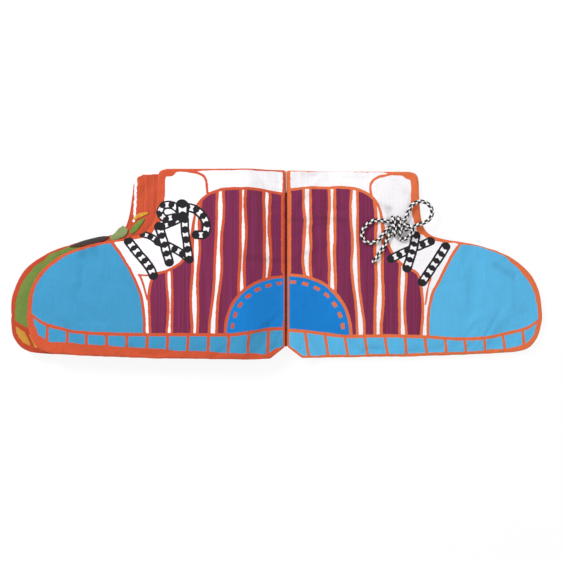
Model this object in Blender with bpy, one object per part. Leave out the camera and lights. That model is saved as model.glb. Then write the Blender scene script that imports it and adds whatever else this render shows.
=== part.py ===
"""Soft cloth book cut in the shape of a high-top shoe, lying open on a table.

Four padded leaves hinge on one sewn fold. Three lie stacked on the left (front cover, a longer
shoe, the left page) and one on the right (the back cover, whose inner face is the right page).
A real round lace is tied in a bow on the right page. Metres, +Z up, +X towards the toe of the
right page, +Y towards the shoe's collar. The origin is under the middle of the whole book.
"""

import math

import bmesh
import bpy
from mathutils import Vector

MM = 0.001

# Driving sizes of the shoe-shaped leaves
PAGE_REACH = 242 * MM           # from the fold to the tip of the toe
LONG_REACH = 256.6 * MM         # the same on the longer shoe of the second leaf
TOP_DRAWN_IN = 3.5 * MM         # reach that the left page loses while it climbs from the fold
PAGE_HEIGHT = 176 * MM          # from the sole to the collar
LONG_HEIGHT = 172 * MM
LEAF_HALF = 4.5 * MM            # half the thickness of a filled leaf
CLOTH = 0.8 * MM                # cloth with its ironed-on backing
GAP = 0.3 * MM                  # clear air between pieces that touch
PUFF_REACH = 34 * MM            # from the seam to where a leaf has its full thickness
FLOOR_FLAT = 0.5 * MM           # how far the resting faces are pressed flat

# The fold: each leaf thins to its seam allowance and turns about its sewn edge
NECK = 40 * MM                  # run over which a leaf thins and comes to the fold
STRIP_THICK = 1.0 * MM
STRIP_TALL = 3.2 * MM
STRIP_LOW = 9.0 * MM            # underside of the strip above the table
STRIP_ROUND_SHARE = 0.25        # radius of its edges as a share of its thickness
THREAD_RADIUS = 0.35 * MM
STITCH = 8 * MM
STITCH_RISE = 0.15 * MM
HINGE_AIR = 0.6 * MM            # between two sewn edges in the stack
COVER_HINGE_HEIGHT = 9.3 * MM
BACK_COVER_HINGE_HEIGHT = 12.0 * MM
COVER_HINGE_STEP_OUT = 2.7 * MM  # the front cover is sewn this much further from the fold

# The sewn edge is rolled: it runs on past the hinge axis by this share of its own half thickness
ROLLED_EDGE_SHARE = 0.85

# How finely the leaves are divided
OUTLINE_STEP = 10.5 * MM
RIM_RINGS = (2.5 * MM, 4.0 * MM)
SEEN_CELL = 28 * MM
HIDDEN_CELL = 42 * MM
LEAST_EDGE = 0.6 * MM           # points nearer to each other than this become one
NECK_CUT_SHARES = (0.0, 0.15, 0.32, 0.5, 0.68, 0.85, 1.0)

# Where the wadding begins, as a share of the neck and one of its cuts
WADDING_START_SHARE = NECK_CUT_SHARES[2]

# Lace bow
LACE_RADIUS = 1.8 * MM
LACE_STEP = 2.6 * MM
TACK_LONG = 2.0 * MM
TACK_WIDE = 3.6 * MM
TACK_TALL = 3.2 * MM
TACK_ROUND = 0.4 * MM
TACK_PLACE = (103.5 * MM, 40 * MM)

# Cloth trims of the second leaf
TRIM_THICK = 1.0 * MM
TRIM_CELLS = 12

# Worked out from the sizes above
SEAM_HALF = GAP / 2 + CLOTH
HINGE_AWAY = STRIP_THICK / 2 + GAP + SEAM_HALF
HINGE_RISE = 2 * SEAM_HALF + HINGE_AIR
LEVEL_STEP = 2 * LEAF_HALF + GAP
FOLD_X = (LONG_REACH - PAGE_REACH) / 2
EDGE_BOTTOM_SHARE = -0.4375
TOP_SHARE = 0.5

# Name of the collection, and the finishes' linear colours
BOOK = "cloth_book"
ORANGE = (0.76, 0.13, 0.04)
PURPLE = (0.18, 0.022, 0.085)
GREEN = (0.15, 0.33, 0.05)
GOLD = (0.70, 0.33, 0.06)
BLACK = (0.03, 0.03, 0.035)
DARK_RED = (0.35, 0.05, 0.05)
FIBRE = (0.87, 0.86, 0.82)

# Roughness of the finishes, and how round the thin pieces are modelled
CLOTH_ROUGHNESS = 0.85
WADDING_ROUGHNESS = 0.95
CORD_ROUGHNESS = 0.7
SHARP_EDGE = math.radians(50)
THREAD_ROUNDNESS = 1
LACE_ROUNDNESS = 2
EDGE_SEGMENTS = 2

# Outlines as shares of a leaf's reach from the fold and of its height: the straight part of the
# sole, then the smooth run round the toe, over the instep and up the shaft to the collar.
SHOE_SOLE_SHARES = [(0.055, -0.5), (0.27, -0.497)]
SHOE_SMOOTH_SHARES = [
    (0.488, -0.494), (0.785, -0.479), (0.925, -0.461), (0.976, -0.406), (0.997, -0.324),
    (1.0, -0.254), (0.985, -0.125), (0.938, -0.026), (0.847, 0.060), (0.723, 0.111),
    (0.612, 0.138), (0.554, 0.168), (0.528, 0.233), (0.5186, 0.352), (0.5157, 0.449),
    (0.5054, 0.4875), (0.479, TOP_SHARE),
]
# The left page is cut like the others up to the ankle, and its shaft is narrower
LEFT_SMOOTH_SHARES = SHOE_SMOOTH_SHARES[:10] + [
    (0.610, 0.138), (0.542, 0.170), (0.507, 0.235), (0.4955, 0.352), (0.4930, 0.449),
    (0.4835, 0.4875), (0.457, TOP_SHARE),
]
LONG_SOLE_SHARES = [(0.052, -0.5), (0.30, -0.497)]
LONG_SMOOTH_SHARES = [
    (0.60, -0.494), (0.865, -0.4855), (0.950, -0.463), (0.991, -0.396), (0.9995, -0.322),
    (1.0, -0.262), (0.994, -0.160), (0.952, -0.034), (0.878, 0.050), (0.800, 0.098),
    (0.729, 0.128), (0.643, 0.156), (0.592, 0.186), (0.572, 0.245), (0.560, 0.340),
    (0.551, 0.448), (0.5436, 0.4795), (0.519, TOP_SHARE),
]

# Lace routes, chosen by hand: millimetres from the fold, from mid height, and above the table
RIGHT_LACE_ROUTE = [
    (104.8, 40.0, 11.2), (108.4, 40.0, 11.2), (112.2, 42.8, 11.2), (114.6, 49.0, 10.9),
    (118.0, 55.0, 10.4), (123.8, 58.9, 10.0), (130.6, 58.6, 9.7), (136.0, 54.2, 9.5),
    (137.4, 47.4, 9.4), (133.4, 41.2, 9.7), (126.0, 37.9, 10.2), (117.6, 34.6, 10.9),
    (111.0, 32.4, 11.2), (104.0, 32.0, 11.2), (99.4, 30.2, 11.2), (96.2, 25.6, 11.3),
    (93.2, 19.4, 11.3), (89.6, 13.2, 11.4), (85.6, 7.2, 11.4), (81.9, 2.2, 11.4),
]
LEFT_LACE_ROUTE = [
    (102.2, 40.0, 11.2), (98.6, 40.0, 11.2), (92.4, 41.0, 11.3), (85.4, 41.6, 11.4),
    (78.6, 39.4, 11.4), (73.4, 34.4, 11.4), (71.4, 27.8, 11.4), (74.2, 21.8, 11.4),
    (80.2, 20.2, 11.4), (86.2, 22.6, 11.4), (91.4, 28.2, 11.3), (95.4, 33.4, 11.2),
    (100.0, 36.0, 11.2), (104.6, 36.0, 11.2), (109.0, 36.4, 12.2), (113.6, 36.4, 14.5),
    (117.4, 33.8, 15.2), (117.8, 29.2, 14.4), (114.8, 25.6, 12.5), (111.0, 23.8, 11.2),
    (107.4, 23.4, 11.1),
]
LEFT_WRAP_ROUTE = [
    (100.0, 44.2, 9.25), (100.0, 44.2, 12.2), (100.2, 42.6, 14.6), (100.6, 39.4, 15.7),
    (101.1, 36.0, 15.9), (101.6, 32.6, 15.7), (102.0, 29.0, 14.7), (102.2, 27.2, 12.2),
    (102.2, 27.2, 9.25),
]
RIGHT_WRAP_ROUTE = [
    (105.4, 44.2, 9.25), (105.4, 44.2, 12.2), (105.6, 42.6, 14.6), (105.9, 39.4, 15.7),
    (106.3, 36.0, 15.9), (106.8, 32.6, 15.7), (107.2, 29.4, 14.7), (107.4, 27.8, 12.2),
    (107.4, 27.8, 9.25),
]

# Trims of the second leaf, along their middle: shares of its reach and height, then of half width
BLACK_PATCH_SHARES = [(0.783, 0.094, 0.002), (0.745, 0.108, 0.011), (0.70, 0.123, 0.014),
                      (0.655, 0.138, 0.008)]
GREEN_STRAP_SHARES = [(0.634, 0.137, 0.008), (0.612, 0.154, 0.014), (0.592, 0.176, 0.019),
                      (0.580, 0.200, 0.012)]
GREEN_END_SHARES = [(0.556, 0.172, 0.005), (0.543, 0.196, 0.0115), (0.528, 0.222, 0.0105),
                    (0.513, 0.243, 0.002)]
GOLD_STRAP_SHARES = [(0.546, 0.247, 0.005), (0.532, 0.262, 0.008), (0.516, 0.272, 0.008),
                     (0.498, 0.278, 0.005)]


def clear_scene():
    """Empty the scene of objects."""
    for old in list(bpy.data.objects):
        bpy.data.objects.remove(old, do_unlink=True)


def ease(share):
    """Smooth step from 0 to 1."""
    share = min(max(share, 0.0), 1.0)
    return share * share * (3.0 - 2.0 * share)


def crown(share):
    """Round shoulder that rises steeply from the seam and runs out level."""
    share = min(max(share, 0.0), 1.0)
    return math.sqrt(1.0 - (1.0 - share) ** 2)


def smooth_line(points, step):
    """Points about one step apart on a smooth curve through the given points."""
    ends = [points[0] * 2 - points[1], *points, points[-1] * 2 - points[-2]]
    line = []
    for before, start, end, after in zip(ends, ends[1:], ends[2:], ends[3:]):
        count = max(1, round((end - start).length / step))
        for index in range(count):
            t = index / count
            line.append(0.5 * (2 * start + (end - before) * t
                               + (2 * before - 5 * start + 4 * end - after) * t * t
                               + (3 * start - before - 3 * end + after) * t ** 3))
    line.append(points[-1].copy())
    return line


class Leaf:
    """Outline and surfaces of one padded leaf, measured outwards from its sewn edge."""

    def __init__(self, side, reach, height, sole_shares, smooth_shares, hinge, level):
        self.side = side                # +1 on the right of the fold, -1 on the left
        self.hinge = hinge              # a point on the sewn edge
        self.level = level              # height of the middle of the filled leaf
        self.reach = reach
        self.height = height
        sole = [Vector((x * reach, y * height)) for x, y in sole_shares]
        curve = [Vector((x * reach, y * height)) for x, y in smooth_shares]
        sewn_edge = [Vector((-ROLLED_EDGE_SHARE * SEAM_HALF, share * height))
                     for share in (TOP_SHARE, EDGE_BOTTOM_SHARE)]
        self.outline = sole + smooth_line(curve, OUTLINE_STEP) + sewn_edge

    def from_rim(self, x, y):
        """Distance from a point of the plan to the outer seam."""
        place = Vector((x, y))
        nearest = self.reach
        seam = [self.outline[-1], *self.outline[:-1]]
        for start, end in zip(seam, seam[1:]):
            run = end - start
            along = min(max((place - start).dot(run) / run.length_squared, 0.0), 1.0)
            nearest = min(nearest, (start + run * along - place).length)
        return nearest

    def middle(self, x):
        """Height of the seam, which climbs or falls from the sewn edge to the leaf's level."""
        return self.hinge.z + (self.level - self.hinge.z) * ease(x / self.neck())

    def neck(self):
        """Run from the sewn edge to the end of the thin part, at one place for all leaves."""
        return NECK - (abs(self.hinge.x - FOLD_X) - HINGE_AWAY)

    def half(self, x, y, most):
        """Half the thickness at a point of the plan: a rolled edge, a thin neck, then the puff."""
        if x < 0.0:
            return math.sqrt(SEAM_HALF ** 2 - x ** 2)
        puff = crown(self.from_rim(x, y) / PUFF_REACH) * ease(x / self.neck())
        return SEAM_HALF + (most - SEAM_HALF) * puff

    def top(self, x, y):
        return self.middle(x) + self.half(x, y, LEAF_HALF)

    def bottom(self, x, y):
        if self.level > LEAF_HALF:
            return self.middle(x) - self.half(x, y, LEAF_HALF)
        return max(self.middle(x) - self.half(x, y, LEAF_HALF + FLOOR_FLAT), 0.0)

    def local(self, x, y, z):
        """Place in the frame of the sewn edge, turned to the leaf's own side of the fold."""
        return Vector((self.side * x, y, z - self.hinge.z))


def flat_leaf(leaf, cell):
    """The leaf's plan as one sheet: a rim of narrow rings round a grid."""
    mesh = bmesh.new()
    face = mesh.faces.new([mesh.verts.new((p.x, p.y, 0.0)) for p in leaf.outline])
    for width in RIM_RINGS:
        bmesh.ops.inset_region(mesh, faces=[face], thickness=width, use_boundary=True,
                               use_even_offset=True)
    outwards, upwards = Vector((1, 0, 0)), Vector((0, 1, 0))
    inner = [face]
    first = math.floor(leaf.neck() / cell) + 1
    for index in range(first, math.ceil(leaf.reach / cell)):
        inner = cut_sheet(mesh, inner, outwards * (index * cell), outwards)
    rows = math.ceil(leaf.height / 2 / cell)
    for index in range(-rows, rows + 1):
        inner = cut_sheet(mesh, inner, upwards * (index * cell), upwards)
    for share in NECK_CUT_SHARES:
        cut_sheet(mesh, list(mesh.faces), outwards * (share * leaf.neck()), outwards)
    bmesh.ops.remove_doubles(mesh, verts=list(mesh.verts), dist=LEAST_EDGE)
    bmesh.ops.triangulate(mesh, faces=list(mesh.faces))
    return mesh


def cut_sheet(mesh, faces, place, normal):
    """Divide the given faces along one line and return all the faces that they became."""
    edges = {edge for face in faces for edge in face.edges}
    verts = {vert for face in faces for vert in face.verts}
    cut = bmesh.ops.bisect_plane(mesh, geom=[*verts, *edges, *faces], plane_co=place,
                                 plane_no=normal)
    return [item for item in cut["geom"] if isinstance(item, bmesh.types.BMFace)]


def close_between(mesh, leaf, upper, lower):
    """Turn a flat sheet into a closed solid between two surfaces over the plan."""
    copied = bmesh.ops.extrude_face_region(mesh, geom=list(mesh.faces), use_keep_orig=True)
    raised = {item for item in copied["geom"] if isinstance(item, bmesh.types.BMVert)}
    for vert in mesh.verts:
        x, y = vert.co.x, vert.co.y
        vert.co = leaf.local(x, y, upper(x, y) if vert in raised else lower(x, y))
    bmesh.ops.recalc_face_normals(mesh, faces=list(mesh.faces))
    if mesh.calc_volume(signed=True) < 0:
        bmesh.ops.reverse_faces(mesh, faces=list(mesh.faces))


def finish(name, mesh, body, material):
    """Make the object of a finished mesh and hang it on its body."""
    data = bpy.data.meshes.new(name)
    mesh.to_mesh(data)
    mesh.free()
    data.shade_smooth()
    data.set_sharp_from_angle(angle=SHARP_EDGE)
    item = bpy.data.objects.new(name, data)
    return place_on(item, body, material)


def place_on(item, body, material):
    """Link an object, hang it on its body and give it its material."""
    bpy.data.collections[BOOK].objects.link(item)
    item.parent = body
    item.data.materials.append(material)
    return item


def finish_cloth(name, colour, roughness):
    """A plain finish: one colour and one roughness."""
    material = bpy.data.materials.new(name)
    material.use_nodes = True
    shader = material.node_tree.nodes["Principled BSDF"]
    shader.inputs["Base Color"].default_value = (*colour, 1.0)
    shader.inputs["Roughness"].default_value = roughness
    shader.inputs["Metallic"].default_value = 0.0
    return material


def make_leaf(leaf, names, body, colours, cell):
    """Two cloth faces and the wadding between them, all three divided alike."""
    front_name, back_name, wadding_name = names
    front = flat_leaf(leaf, cell)
    close_between(front, leaf, leaf.top,
                  lambda x, y: max(leaf.top(x, y) - CLOTH, leaf.middle(x) + GAP / 2))
    finish(front_name, front, body, finish_cloth(front_name, colours[0], CLOTH_ROUGHNESS))

    back = flat_leaf(leaf, cell)
    close_between(back, leaf,
                  lambda x, y: min(leaf.bottom(x, y) + CLOTH, leaf.middle(x) - GAP / 2),
                  leaf.bottom)
    finish(back_name, back, body, finish_cloth(back_name, colours[1], CLOTH_ROUGHNESS))

    wadding = flat_wadding(leaf, cell)
    close_between(wadding, leaf, lambda x, y: leaf.top(x, y) - CLOTH - GAP,
                  lambda x, y: leaf.bottom(x, y) + CLOTH + GAP)
    finish(wadding_name, wadding, body, finish_cloth(wadding_name, FIBRE, WADDING_ROUGHNESS))


def flat_wadding(leaf, cell):
    """The plan of the wadding: the leaf's sheet without its rim and the thin part of its neck."""
    mesh = flat_leaf(leaf, cell)
    start = WADDING_START_SHARE * leaf.neck()
    rim = {face for vert in mesh.verts if vert.is_boundary for face in vert.link_faces}
    near = {face for face in mesh.faces if face.calc_center_median().x < start}
    bmesh.ops.delete(mesh, geom=list(rim | near), context="FACES")
    return mesh


def make_strip(body):
    """The folded strip that the leaves are sewn to."""
    bottom, top = EDGE_BOTTOM_SHARE * PAGE_HEIGHT, TOP_SHARE * PAGE_HEIGHT
    mesh = bmesh.new()
    bmesh.ops.create_cube(mesh, size=1.0)
    centre = Vector((0.0, (top + bottom) / 2, STRIP_LOW + STRIP_TALL / 2))
    size = Vector((STRIP_THICK, top - bottom, STRIP_TALL))
    for vert in mesh.verts:
        vert.co = centre + vert.co * size
    bmesh.ops.bevel(mesh, geom=list(mesh.edges), offset=STRIP_ROUND_SHARE * STRIP_THICK,
                    segments=EDGE_SEGMENTS, affect="EDGES")
    finish("spine_strip", mesh, body, finish_cloth("spine_strip", ORANGE, CLOTH_ROUGHNESS))


def make_thread(body):
    """A running seam along the strip's upper edge, one low hump for each stitch."""
    bottom, top = EDGE_BOTTOM_SHARE * PAGE_HEIGHT, TOP_SHARE * PAGE_HEIGHT
    count = int((top - bottom) / STITCH)
    start = (top + bottom - count * STITCH) / 2
    height = STRIP_LOW + STRIP_TALL + GAP + THREAD_RADIUS
    points = []
    for index in range(2 * count + 1):
        points.append(Vector((0.0, start + index * STITCH / 2, height + (index % 2) * STITCH_RISE)))
    tube("spine_thread", points, THREAD_RADIUS, THREAD_ROUNDNESS, body, DARK_RED)


def tube(name, points, radius, roundness, body, colour):
    """A round cord along the given points, its ends closed."""
    curve = bpy.data.curves.new(name, "CURVE")
    curve.dimensions = "3D"
    curve.bevel_depth = radius
    curve.bevel_resolution = roundness
    curve.use_fill_caps = True
    spline = curve.splines.new("POLY")
    spline.points.add(len(points) - 1)
    for knot, place in zip(spline.points, points):
        knot.co = (*place, 1.0)
    item = bpy.data.objects.new(name, curve)
    place_on(item, body, finish_cloth(name, colour, CORD_ROUGHNESS))


def lace(name, route, hinge, body, colour):
    """A lace along a hand-chosen route, kept in the frame of the page that carries it."""
    points = [Vector((x * MM + FOLD_X, y * MM, z * MM)) - hinge for x, y, z in route]
    tube(name, smooth_line(points, LACE_STEP), LACE_RADIUS, LACE_ROUNDNESS, body, colour)


def make_tack(leaf, body):
    """The block of stitches between the two lace ends, under the knot."""
    x, y = TACK_PLACE
    foot = leaf.top(x - HINGE_AWAY, y) + GAP
    mesh = bmesh.new()
    bmesh.ops.create_cube(mesh, size=1.0)
    centre = leaf.local(x - HINGE_AWAY, y, foot + TACK_TALL / 2)
    size = Vector((TACK_LONG, TACK_WIDE, TACK_TALL))
    for vert in mesh.verts:
        vert.co = centre + vert.co * size
    bmesh.ops.bevel(mesh, geom=list(mesh.edges), offset=TACK_ROUND, segments=EDGE_SEGMENTS,
                    affect="EDGES")
    finish("lace_tack", mesh, body, finish_cloth("lace_tack", BLACK, CORD_ROUGHNESS))


def make_trim(name, leaf, shares, body, colour):
    """A cloth band that lies on the leaf and follows its puffed surface."""
    middle = [Vector((x * leaf.reach, y * leaf.height, w * leaf.reach)) for x, y, w in shares]
    span = sum((b - a).length for a, b in zip(middle, middle[1:]))
    line = smooth_line(middle, span / TRIM_CELLS)
    mesh = bmesh.new()
    bmesh.ops.create_grid(mesh, x_segments=len(line) - 1, y_segments=2, size=1.0)
    for vert in mesh.verts:
        index = round((vert.co.x + 1) / 2 * (len(line) - 1))
        here = line[index]
        ahead = line[min(index + 1, len(line) - 1)] - line[max(index - 1, 0)]
        across = Vector((-ahead.y, ahead.x)).normalized() * vert.co.y * here.z
        vert.co = Vector((here.x + across.x, here.y + across.y, 0.0))
    bmesh.ops.triangulate(mesh, faces=list(mesh.faces))
    close_between(mesh, leaf, lambda x, y: leaf.top(x, y) + GAP + TRIM_THICK,
                  lambda x, y: leaf.top(x, y) + GAP)
    finish(name, mesh, body, finish_cloth(name, colour, CLOTH_ROUGHNESS))


def hinge_empty(name, place, parent=None):
    """An empty on a joint's axis that carries one moving body."""
    empty = bpy.data.objects.new(name, None)
    bpy.data.collections[BOOK].objects.link(empty)
    empty.empty_display_size = STITCH
    empty.parent = parent
    empty.location = place - (parent.location if parent else Vector())
    return empty


def build_book():
    clear_scene()
    bpy.context.scene.collection.children.link(bpy.data.collections.new(BOOK))

    cover_hinge = Vector((FOLD_X - HINGE_AWAY - COVER_HINGE_STEP_OUT, 0.0, COVER_HINGE_HEIGHT))
    long_hinge = Vector((FOLD_X - HINGE_AWAY, 0.0, COVER_HINGE_HEIGHT + HINGE_RISE))
    page_hinge = Vector((FOLD_X - HINGE_AWAY, 0.0, COVER_HINGE_HEIGHT + 2 * HINGE_RISE))
    back_hinge = Vector((FOLD_X + HINGE_AWAY, 0.0, BACK_COVER_HINGE_HEIGHT))

    page = PAGE_REACH - HINGE_AWAY
    cover = Leaf(-1, page, PAGE_HEIGHT, SHOE_SOLE_SHARES, SHOE_SMOOTH_SHARES,
                 cover_hinge, LEAF_HALF)
    long_shoe = Leaf(-1, LONG_REACH - HINGE_AWAY, LONG_HEIGHT, LONG_SOLE_SHARES,
                     LONG_SMOOTH_SHARES, long_hinge, LEAF_HALF + LEVEL_STEP)
    left_page = Leaf(-1, page - TOP_DRAWN_IN, PAGE_HEIGHT, SHOE_SOLE_SHARES,
                     LEFT_SMOOTH_SHARES, page_hinge, LEAF_HALF + 2 * LEVEL_STEP)
    back_cover = Leaf(1, page, PAGE_HEIGHT, SHOE_SOLE_SHARES, SHOE_SMOOTH_SHARES,
                      back_hinge, LEAF_HALF)

    spine = hinge_empty("spine_frame", Vector((FOLD_X, 0.0, 0.0)))
    long_body = hinge_empty("long_shoe_fold", long_hinge)
    cover_body = hinge_empty("front_cover_fold", cover_hinge, long_body)
    page_body = hinge_empty("left_page_turn", page_hinge)
    back_body = hinge_empty("back_cover_fold", back_hinge)

    make_strip(spine)
    make_thread(spine)
    cover_names = ("front_cover_inner_cloth", "front_cover_outer_cloth", "front_cover_wadding")
    long_names = ("long_shoe_leaf_front_cloth", "long_shoe_leaf_back_cloth",
                  "long_shoe_leaf_wadding")
    page_names = ("left_page_front_cloth", "left_page_back_cloth", "left_page_wadding")
    back_names = ("back_cover_inner_cloth", "back_cover_outer_cloth", "back_cover_wadding")
    make_leaf(cover, cover_names, cover_body, (ORANGE, ORANGE), HIDDEN_CELL)
    make_leaf(long_shoe, long_names, long_body, (GREEN, ORANGE), HIDDEN_CELL)
    make_leaf(left_page, page_names, page_body, (PURPLE, ORANGE), SEEN_CELL)
    make_leaf(back_cover, back_names, back_body, (PURPLE, ORANGE), SEEN_CELL)

    make_trim("black_patch", long_shoe, BLACK_PATCH_SHARES, long_body, BLACK)
    make_trim("green_strap", long_shoe, GREEN_STRAP_SHARES, long_body, GREEN)
    make_trim("green_strap_end", long_shoe, GREEN_END_SHARES, long_body, GREEN)
    make_trim("gold_strap", long_shoe, GOLD_STRAP_SHARES, long_body, GOLD)

    make_tack(back_cover, back_body)
    lace("right_lace", RIGHT_LACE_ROUTE, back_hinge, back_body, BLACK)
    lace("left_lace", LEFT_LACE_ROUTE, back_hinge, back_body, BLACK)
    lace("left_knot_wrap", LEFT_WRAP_ROUTE, back_hinge, back_body, BLACK)
    lace("right_knot_wrap", RIGHT_WRAP_ROUTE, back_hinge, back_body, BLACK)


build_book()
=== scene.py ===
# %% [markdown]
# # A cloth book in the shape of high-top shoes
#
# This notebook dresses a soft cloth book: four padded leaves cut like a high-top shoe, sewn into
# one fold and lying open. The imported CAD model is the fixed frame, and it says where every leaf,
# lace and trim lies and how it moves. Here each of them gets its real surface: printed woven
# cloth, puffed by its wadding, a braided lace, and sewn trims. All lengths are metres.

# %% Load the fixed frame
import math

import bmesh
import bpy
import numpy as np
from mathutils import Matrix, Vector, geometry, noise


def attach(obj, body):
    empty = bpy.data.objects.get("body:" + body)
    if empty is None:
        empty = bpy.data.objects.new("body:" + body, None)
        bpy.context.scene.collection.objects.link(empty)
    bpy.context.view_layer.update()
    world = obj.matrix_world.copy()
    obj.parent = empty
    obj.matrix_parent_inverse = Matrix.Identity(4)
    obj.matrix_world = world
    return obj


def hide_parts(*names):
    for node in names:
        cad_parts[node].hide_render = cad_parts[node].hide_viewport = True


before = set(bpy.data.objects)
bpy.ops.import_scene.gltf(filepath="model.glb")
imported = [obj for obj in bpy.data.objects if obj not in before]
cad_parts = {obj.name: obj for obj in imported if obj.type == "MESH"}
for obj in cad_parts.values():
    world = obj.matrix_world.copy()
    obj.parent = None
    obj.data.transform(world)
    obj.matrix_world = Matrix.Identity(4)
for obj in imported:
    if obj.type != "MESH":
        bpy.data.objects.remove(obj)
scene = bpy.context.scene
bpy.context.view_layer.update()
MM = 0.001

# %% [markdown]
# ## The camera
#
# The photo looks straight down on the open book. A camera at 0.7 m sees the thick stack on the
# left a little larger than the single leaf on the right, as the photo does. A long lens would
# hide that difference, and tilting the camera would show the pages' sides, which stay hidden.

# %% Camera
CAMERA_PLACE = Vector((2.55, -15.55, 700)) * MM
LENS, SENSOR_WIDTH = 47.0, 36.0

camera = bpy.data.objects.new("overhead_camera", bpy.data.cameras.new("overhead_camera"))
scene.collection.objects.link(camera)
camera.location = CAMERA_PLACE
camera.data.sensor_width, camera.data.lens = SENSOR_WIDTH, LENS
scene.camera = camera
scene.view_settings.view_transform = "Standard"
print("camera", tuple(round(c, 4) for c in camera.location), "lens", LENS)

# %% [markdown]
# ## Smooth lines and round tubes
#
# A lace is one length of round cord, so its centre line is one smooth curve through listed points.
# A curve object could carry the round section, but a mesh tube can also remember at each point how
# far along and how far round it lies, which the braid's pattern is drawn from.

# %% Curve and tube helpers
def smooth_line(points, step):
    """Points about one step apart on a Catmull-Rom curve through the given points."""
    ends = [points[0] * 2 - points[1], *points, points[-1] * 2 - points[-2]]
    line = []
    for before, start, end, after in zip(ends, ends[1:], ends[2:], ends[3:]):
        count = max(1, round((end - start).length / step))
        for index in range(count):
            t = index / count
            line.append(0.5 * (2 * start + (end - before) * t
                               + (2 * before - 5 * start + 4 * end - after) * t * t
                               + (3 * start - before - 3 * end + after) * t ** 3))
    line.append(points[-1].copy())
    return line


def add_floats(mesh, name, values):
    """Store one number per point under a name that a material can read."""
    layer = mesh.attributes.new(name, "FLOAT", "POINT")
    layer.data.foreach_set("value", np.asarray(values, np.float32))


def show(name, mesh):
    """Make a smooth object of a mesh."""
    mesh.shade_smooth()
    item = bpy.data.objects.new(name, mesh)
    scene.collection.objects.link(item)
    return item


def fasten(piece, body, node):
    """Let a piece ride on its body, in place of its CAD node."""
    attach(piece, body)
    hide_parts(node)


def ring_faces(count, sides):
    """Faces between rings of points that follow each other, and over both ends."""
    faces = [[r * sides + s, r * sides + (s + 1) % sides,
              (r + 1) * sides + (s + 1) % sides, (r + 1) * sides + s]
             for r in range(count - 1) for s in range(sides)]
    return faces + [list(range(sides))[::-1], [(count - 1) * sides + s for s in range(sides)]]


END_LENGTH_SHARE = 0.6
END_SHARES = [(0.99, 0.15), (0.87, 0.5), (0.5, 0.87)]


def tube(name, line, radius, sides=18):
    """A round tube along a line, with rounded ends, that knows its place along and around."""
    points = np.array(line)
    ahead = np.gradient(points, axis=0)
    ahead /= np.linalg.norm(ahead, axis=1)[:, None]
    across = np.cross(ahead[0], (0.0, 0.0, 1.0)) + (1e-6, 0.0, 0.0)
    steps = np.r_[0.0, np.linalg.norm(np.diff(points, axis=0), axis=1)]
    turn = np.arange(sides) * 2 * np.pi / sides
    end_sizes = [(out * radius * END_LENGTH_SHARE, thin) for out, thin in END_SHARES]
    rings, along, travelled = [], [], 0.0
    for index, (point, direction) in enumerate(zip(points, ahead)):
        travelled += steps[index]
        across = across - direction * (across @ direction)
        across /= np.linalg.norm(across)
        beside = np.cross(direction, across)
        sizes = [(0.0, 1.0)]
        if index == 0:
            sizes = [(-out, thin) for out, thin in end_sizes] + sizes
        if index == len(points) - 1:
            sizes = sizes + end_sizes[::-1]
        for out, share in sizes:
            circle = np.outer(np.cos(turn), across) + np.outer(np.sin(turn), beside)
            rings.append(point + direction * out + radius * share * circle)
            along.append(travelled + out)
    mesh = bpy.data.meshes.new(name)
    mesh.from_pydata(np.concatenate(rings).tolist(), [], ring_faces(len(rings), sides))
    add_floats(mesh, "along", np.repeat(along, sides))
    add_floats(mesh, "turn_x", np.cos(np.tile(turn, len(rings))))
    return show(name, mesh)


print("helpers ready: smooth_line, add_floats, show, fasten, tube")

# %% [markdown]
# ## The real lace
#
# A round braided lace, 3.6 mm thick, is sewn to the right page under its knot. One half makes the
# right loop and ends in the tail that runs down to the left, the other makes the left loop, passes
# over the knot and curls back at its lower edge. Two short turns of the same lace bind the knot.
# The routes are the ones that the CAD model's laces follow: millimetres from the fold, from mid
# height, and above the table.

# %% Lace routes and tubes
FOLD_X = 7.3 * MM
LACE_RADIUS = 1.8 * MM
LACE_STEP = 0.9 * MM
RIGHT_LACE_ROUTE = [
    (104.8, 40.0, 11.2), (108.4, 40.0, 11.2), (112.2, 42.8, 11.2), (114.6, 49.0, 10.9),
    (118.0, 55.0, 10.4), (123.8, 58.9, 10.0), (130.6, 58.6, 9.7), (136.0, 54.2, 9.5),
    (137.4, 47.4, 9.4), (133.4, 41.2, 9.7), (126.0, 37.9, 10.2), (117.6, 34.6, 10.9),
    (111.0, 32.4, 11.2), (104.0, 32.0, 11.2), (99.4, 30.2, 11.2), (96.2, 25.6, 11.3),
    (93.2, 19.4, 11.3), (89.6, 13.2, 11.4), (85.6, 7.2, 11.4), (81.9, 2.2, 11.4),
]
LEFT_LACE_ROUTE = [
    (102.2, 40.0, 11.2), (98.6, 40.0, 11.2), (92.4, 41.0, 11.3), (85.4, 41.6, 11.4),
    (78.6, 39.4, 11.4), (73.4, 34.4, 11.4), (71.4, 27.8, 11.4), (74.2, 21.8, 11.4),
    (80.2, 20.2, 11.4), (86.2, 22.6, 11.4), (91.4, 28.2, 11.3), (95.4, 33.4, 11.2),
    (100.0, 36.0, 11.2), (104.6, 36.0, 11.2), (109.0, 36.4, 12.2), (113.6, 36.4, 14.5),
    (117.4, 33.8, 15.2), (117.8, 29.2, 14.4), (114.8, 25.6, 12.5), (111.0, 23.8, 11.2),
    (107.4, 23.4, 11.1),
]
LEFT_WRAP_ROUTE = [
    (100.0, 44.2, 9.25), (100.0, 44.2, 12.2), (100.2, 42.6, 14.6), (100.6, 39.4, 15.7),
    (101.1, 36.0, 15.9), (101.6, 32.6, 15.7), (102.0, 29.0, 14.7), (102.2, 27.2, 12.2),
    (102.2, 27.2, 9.25),
]
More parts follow.
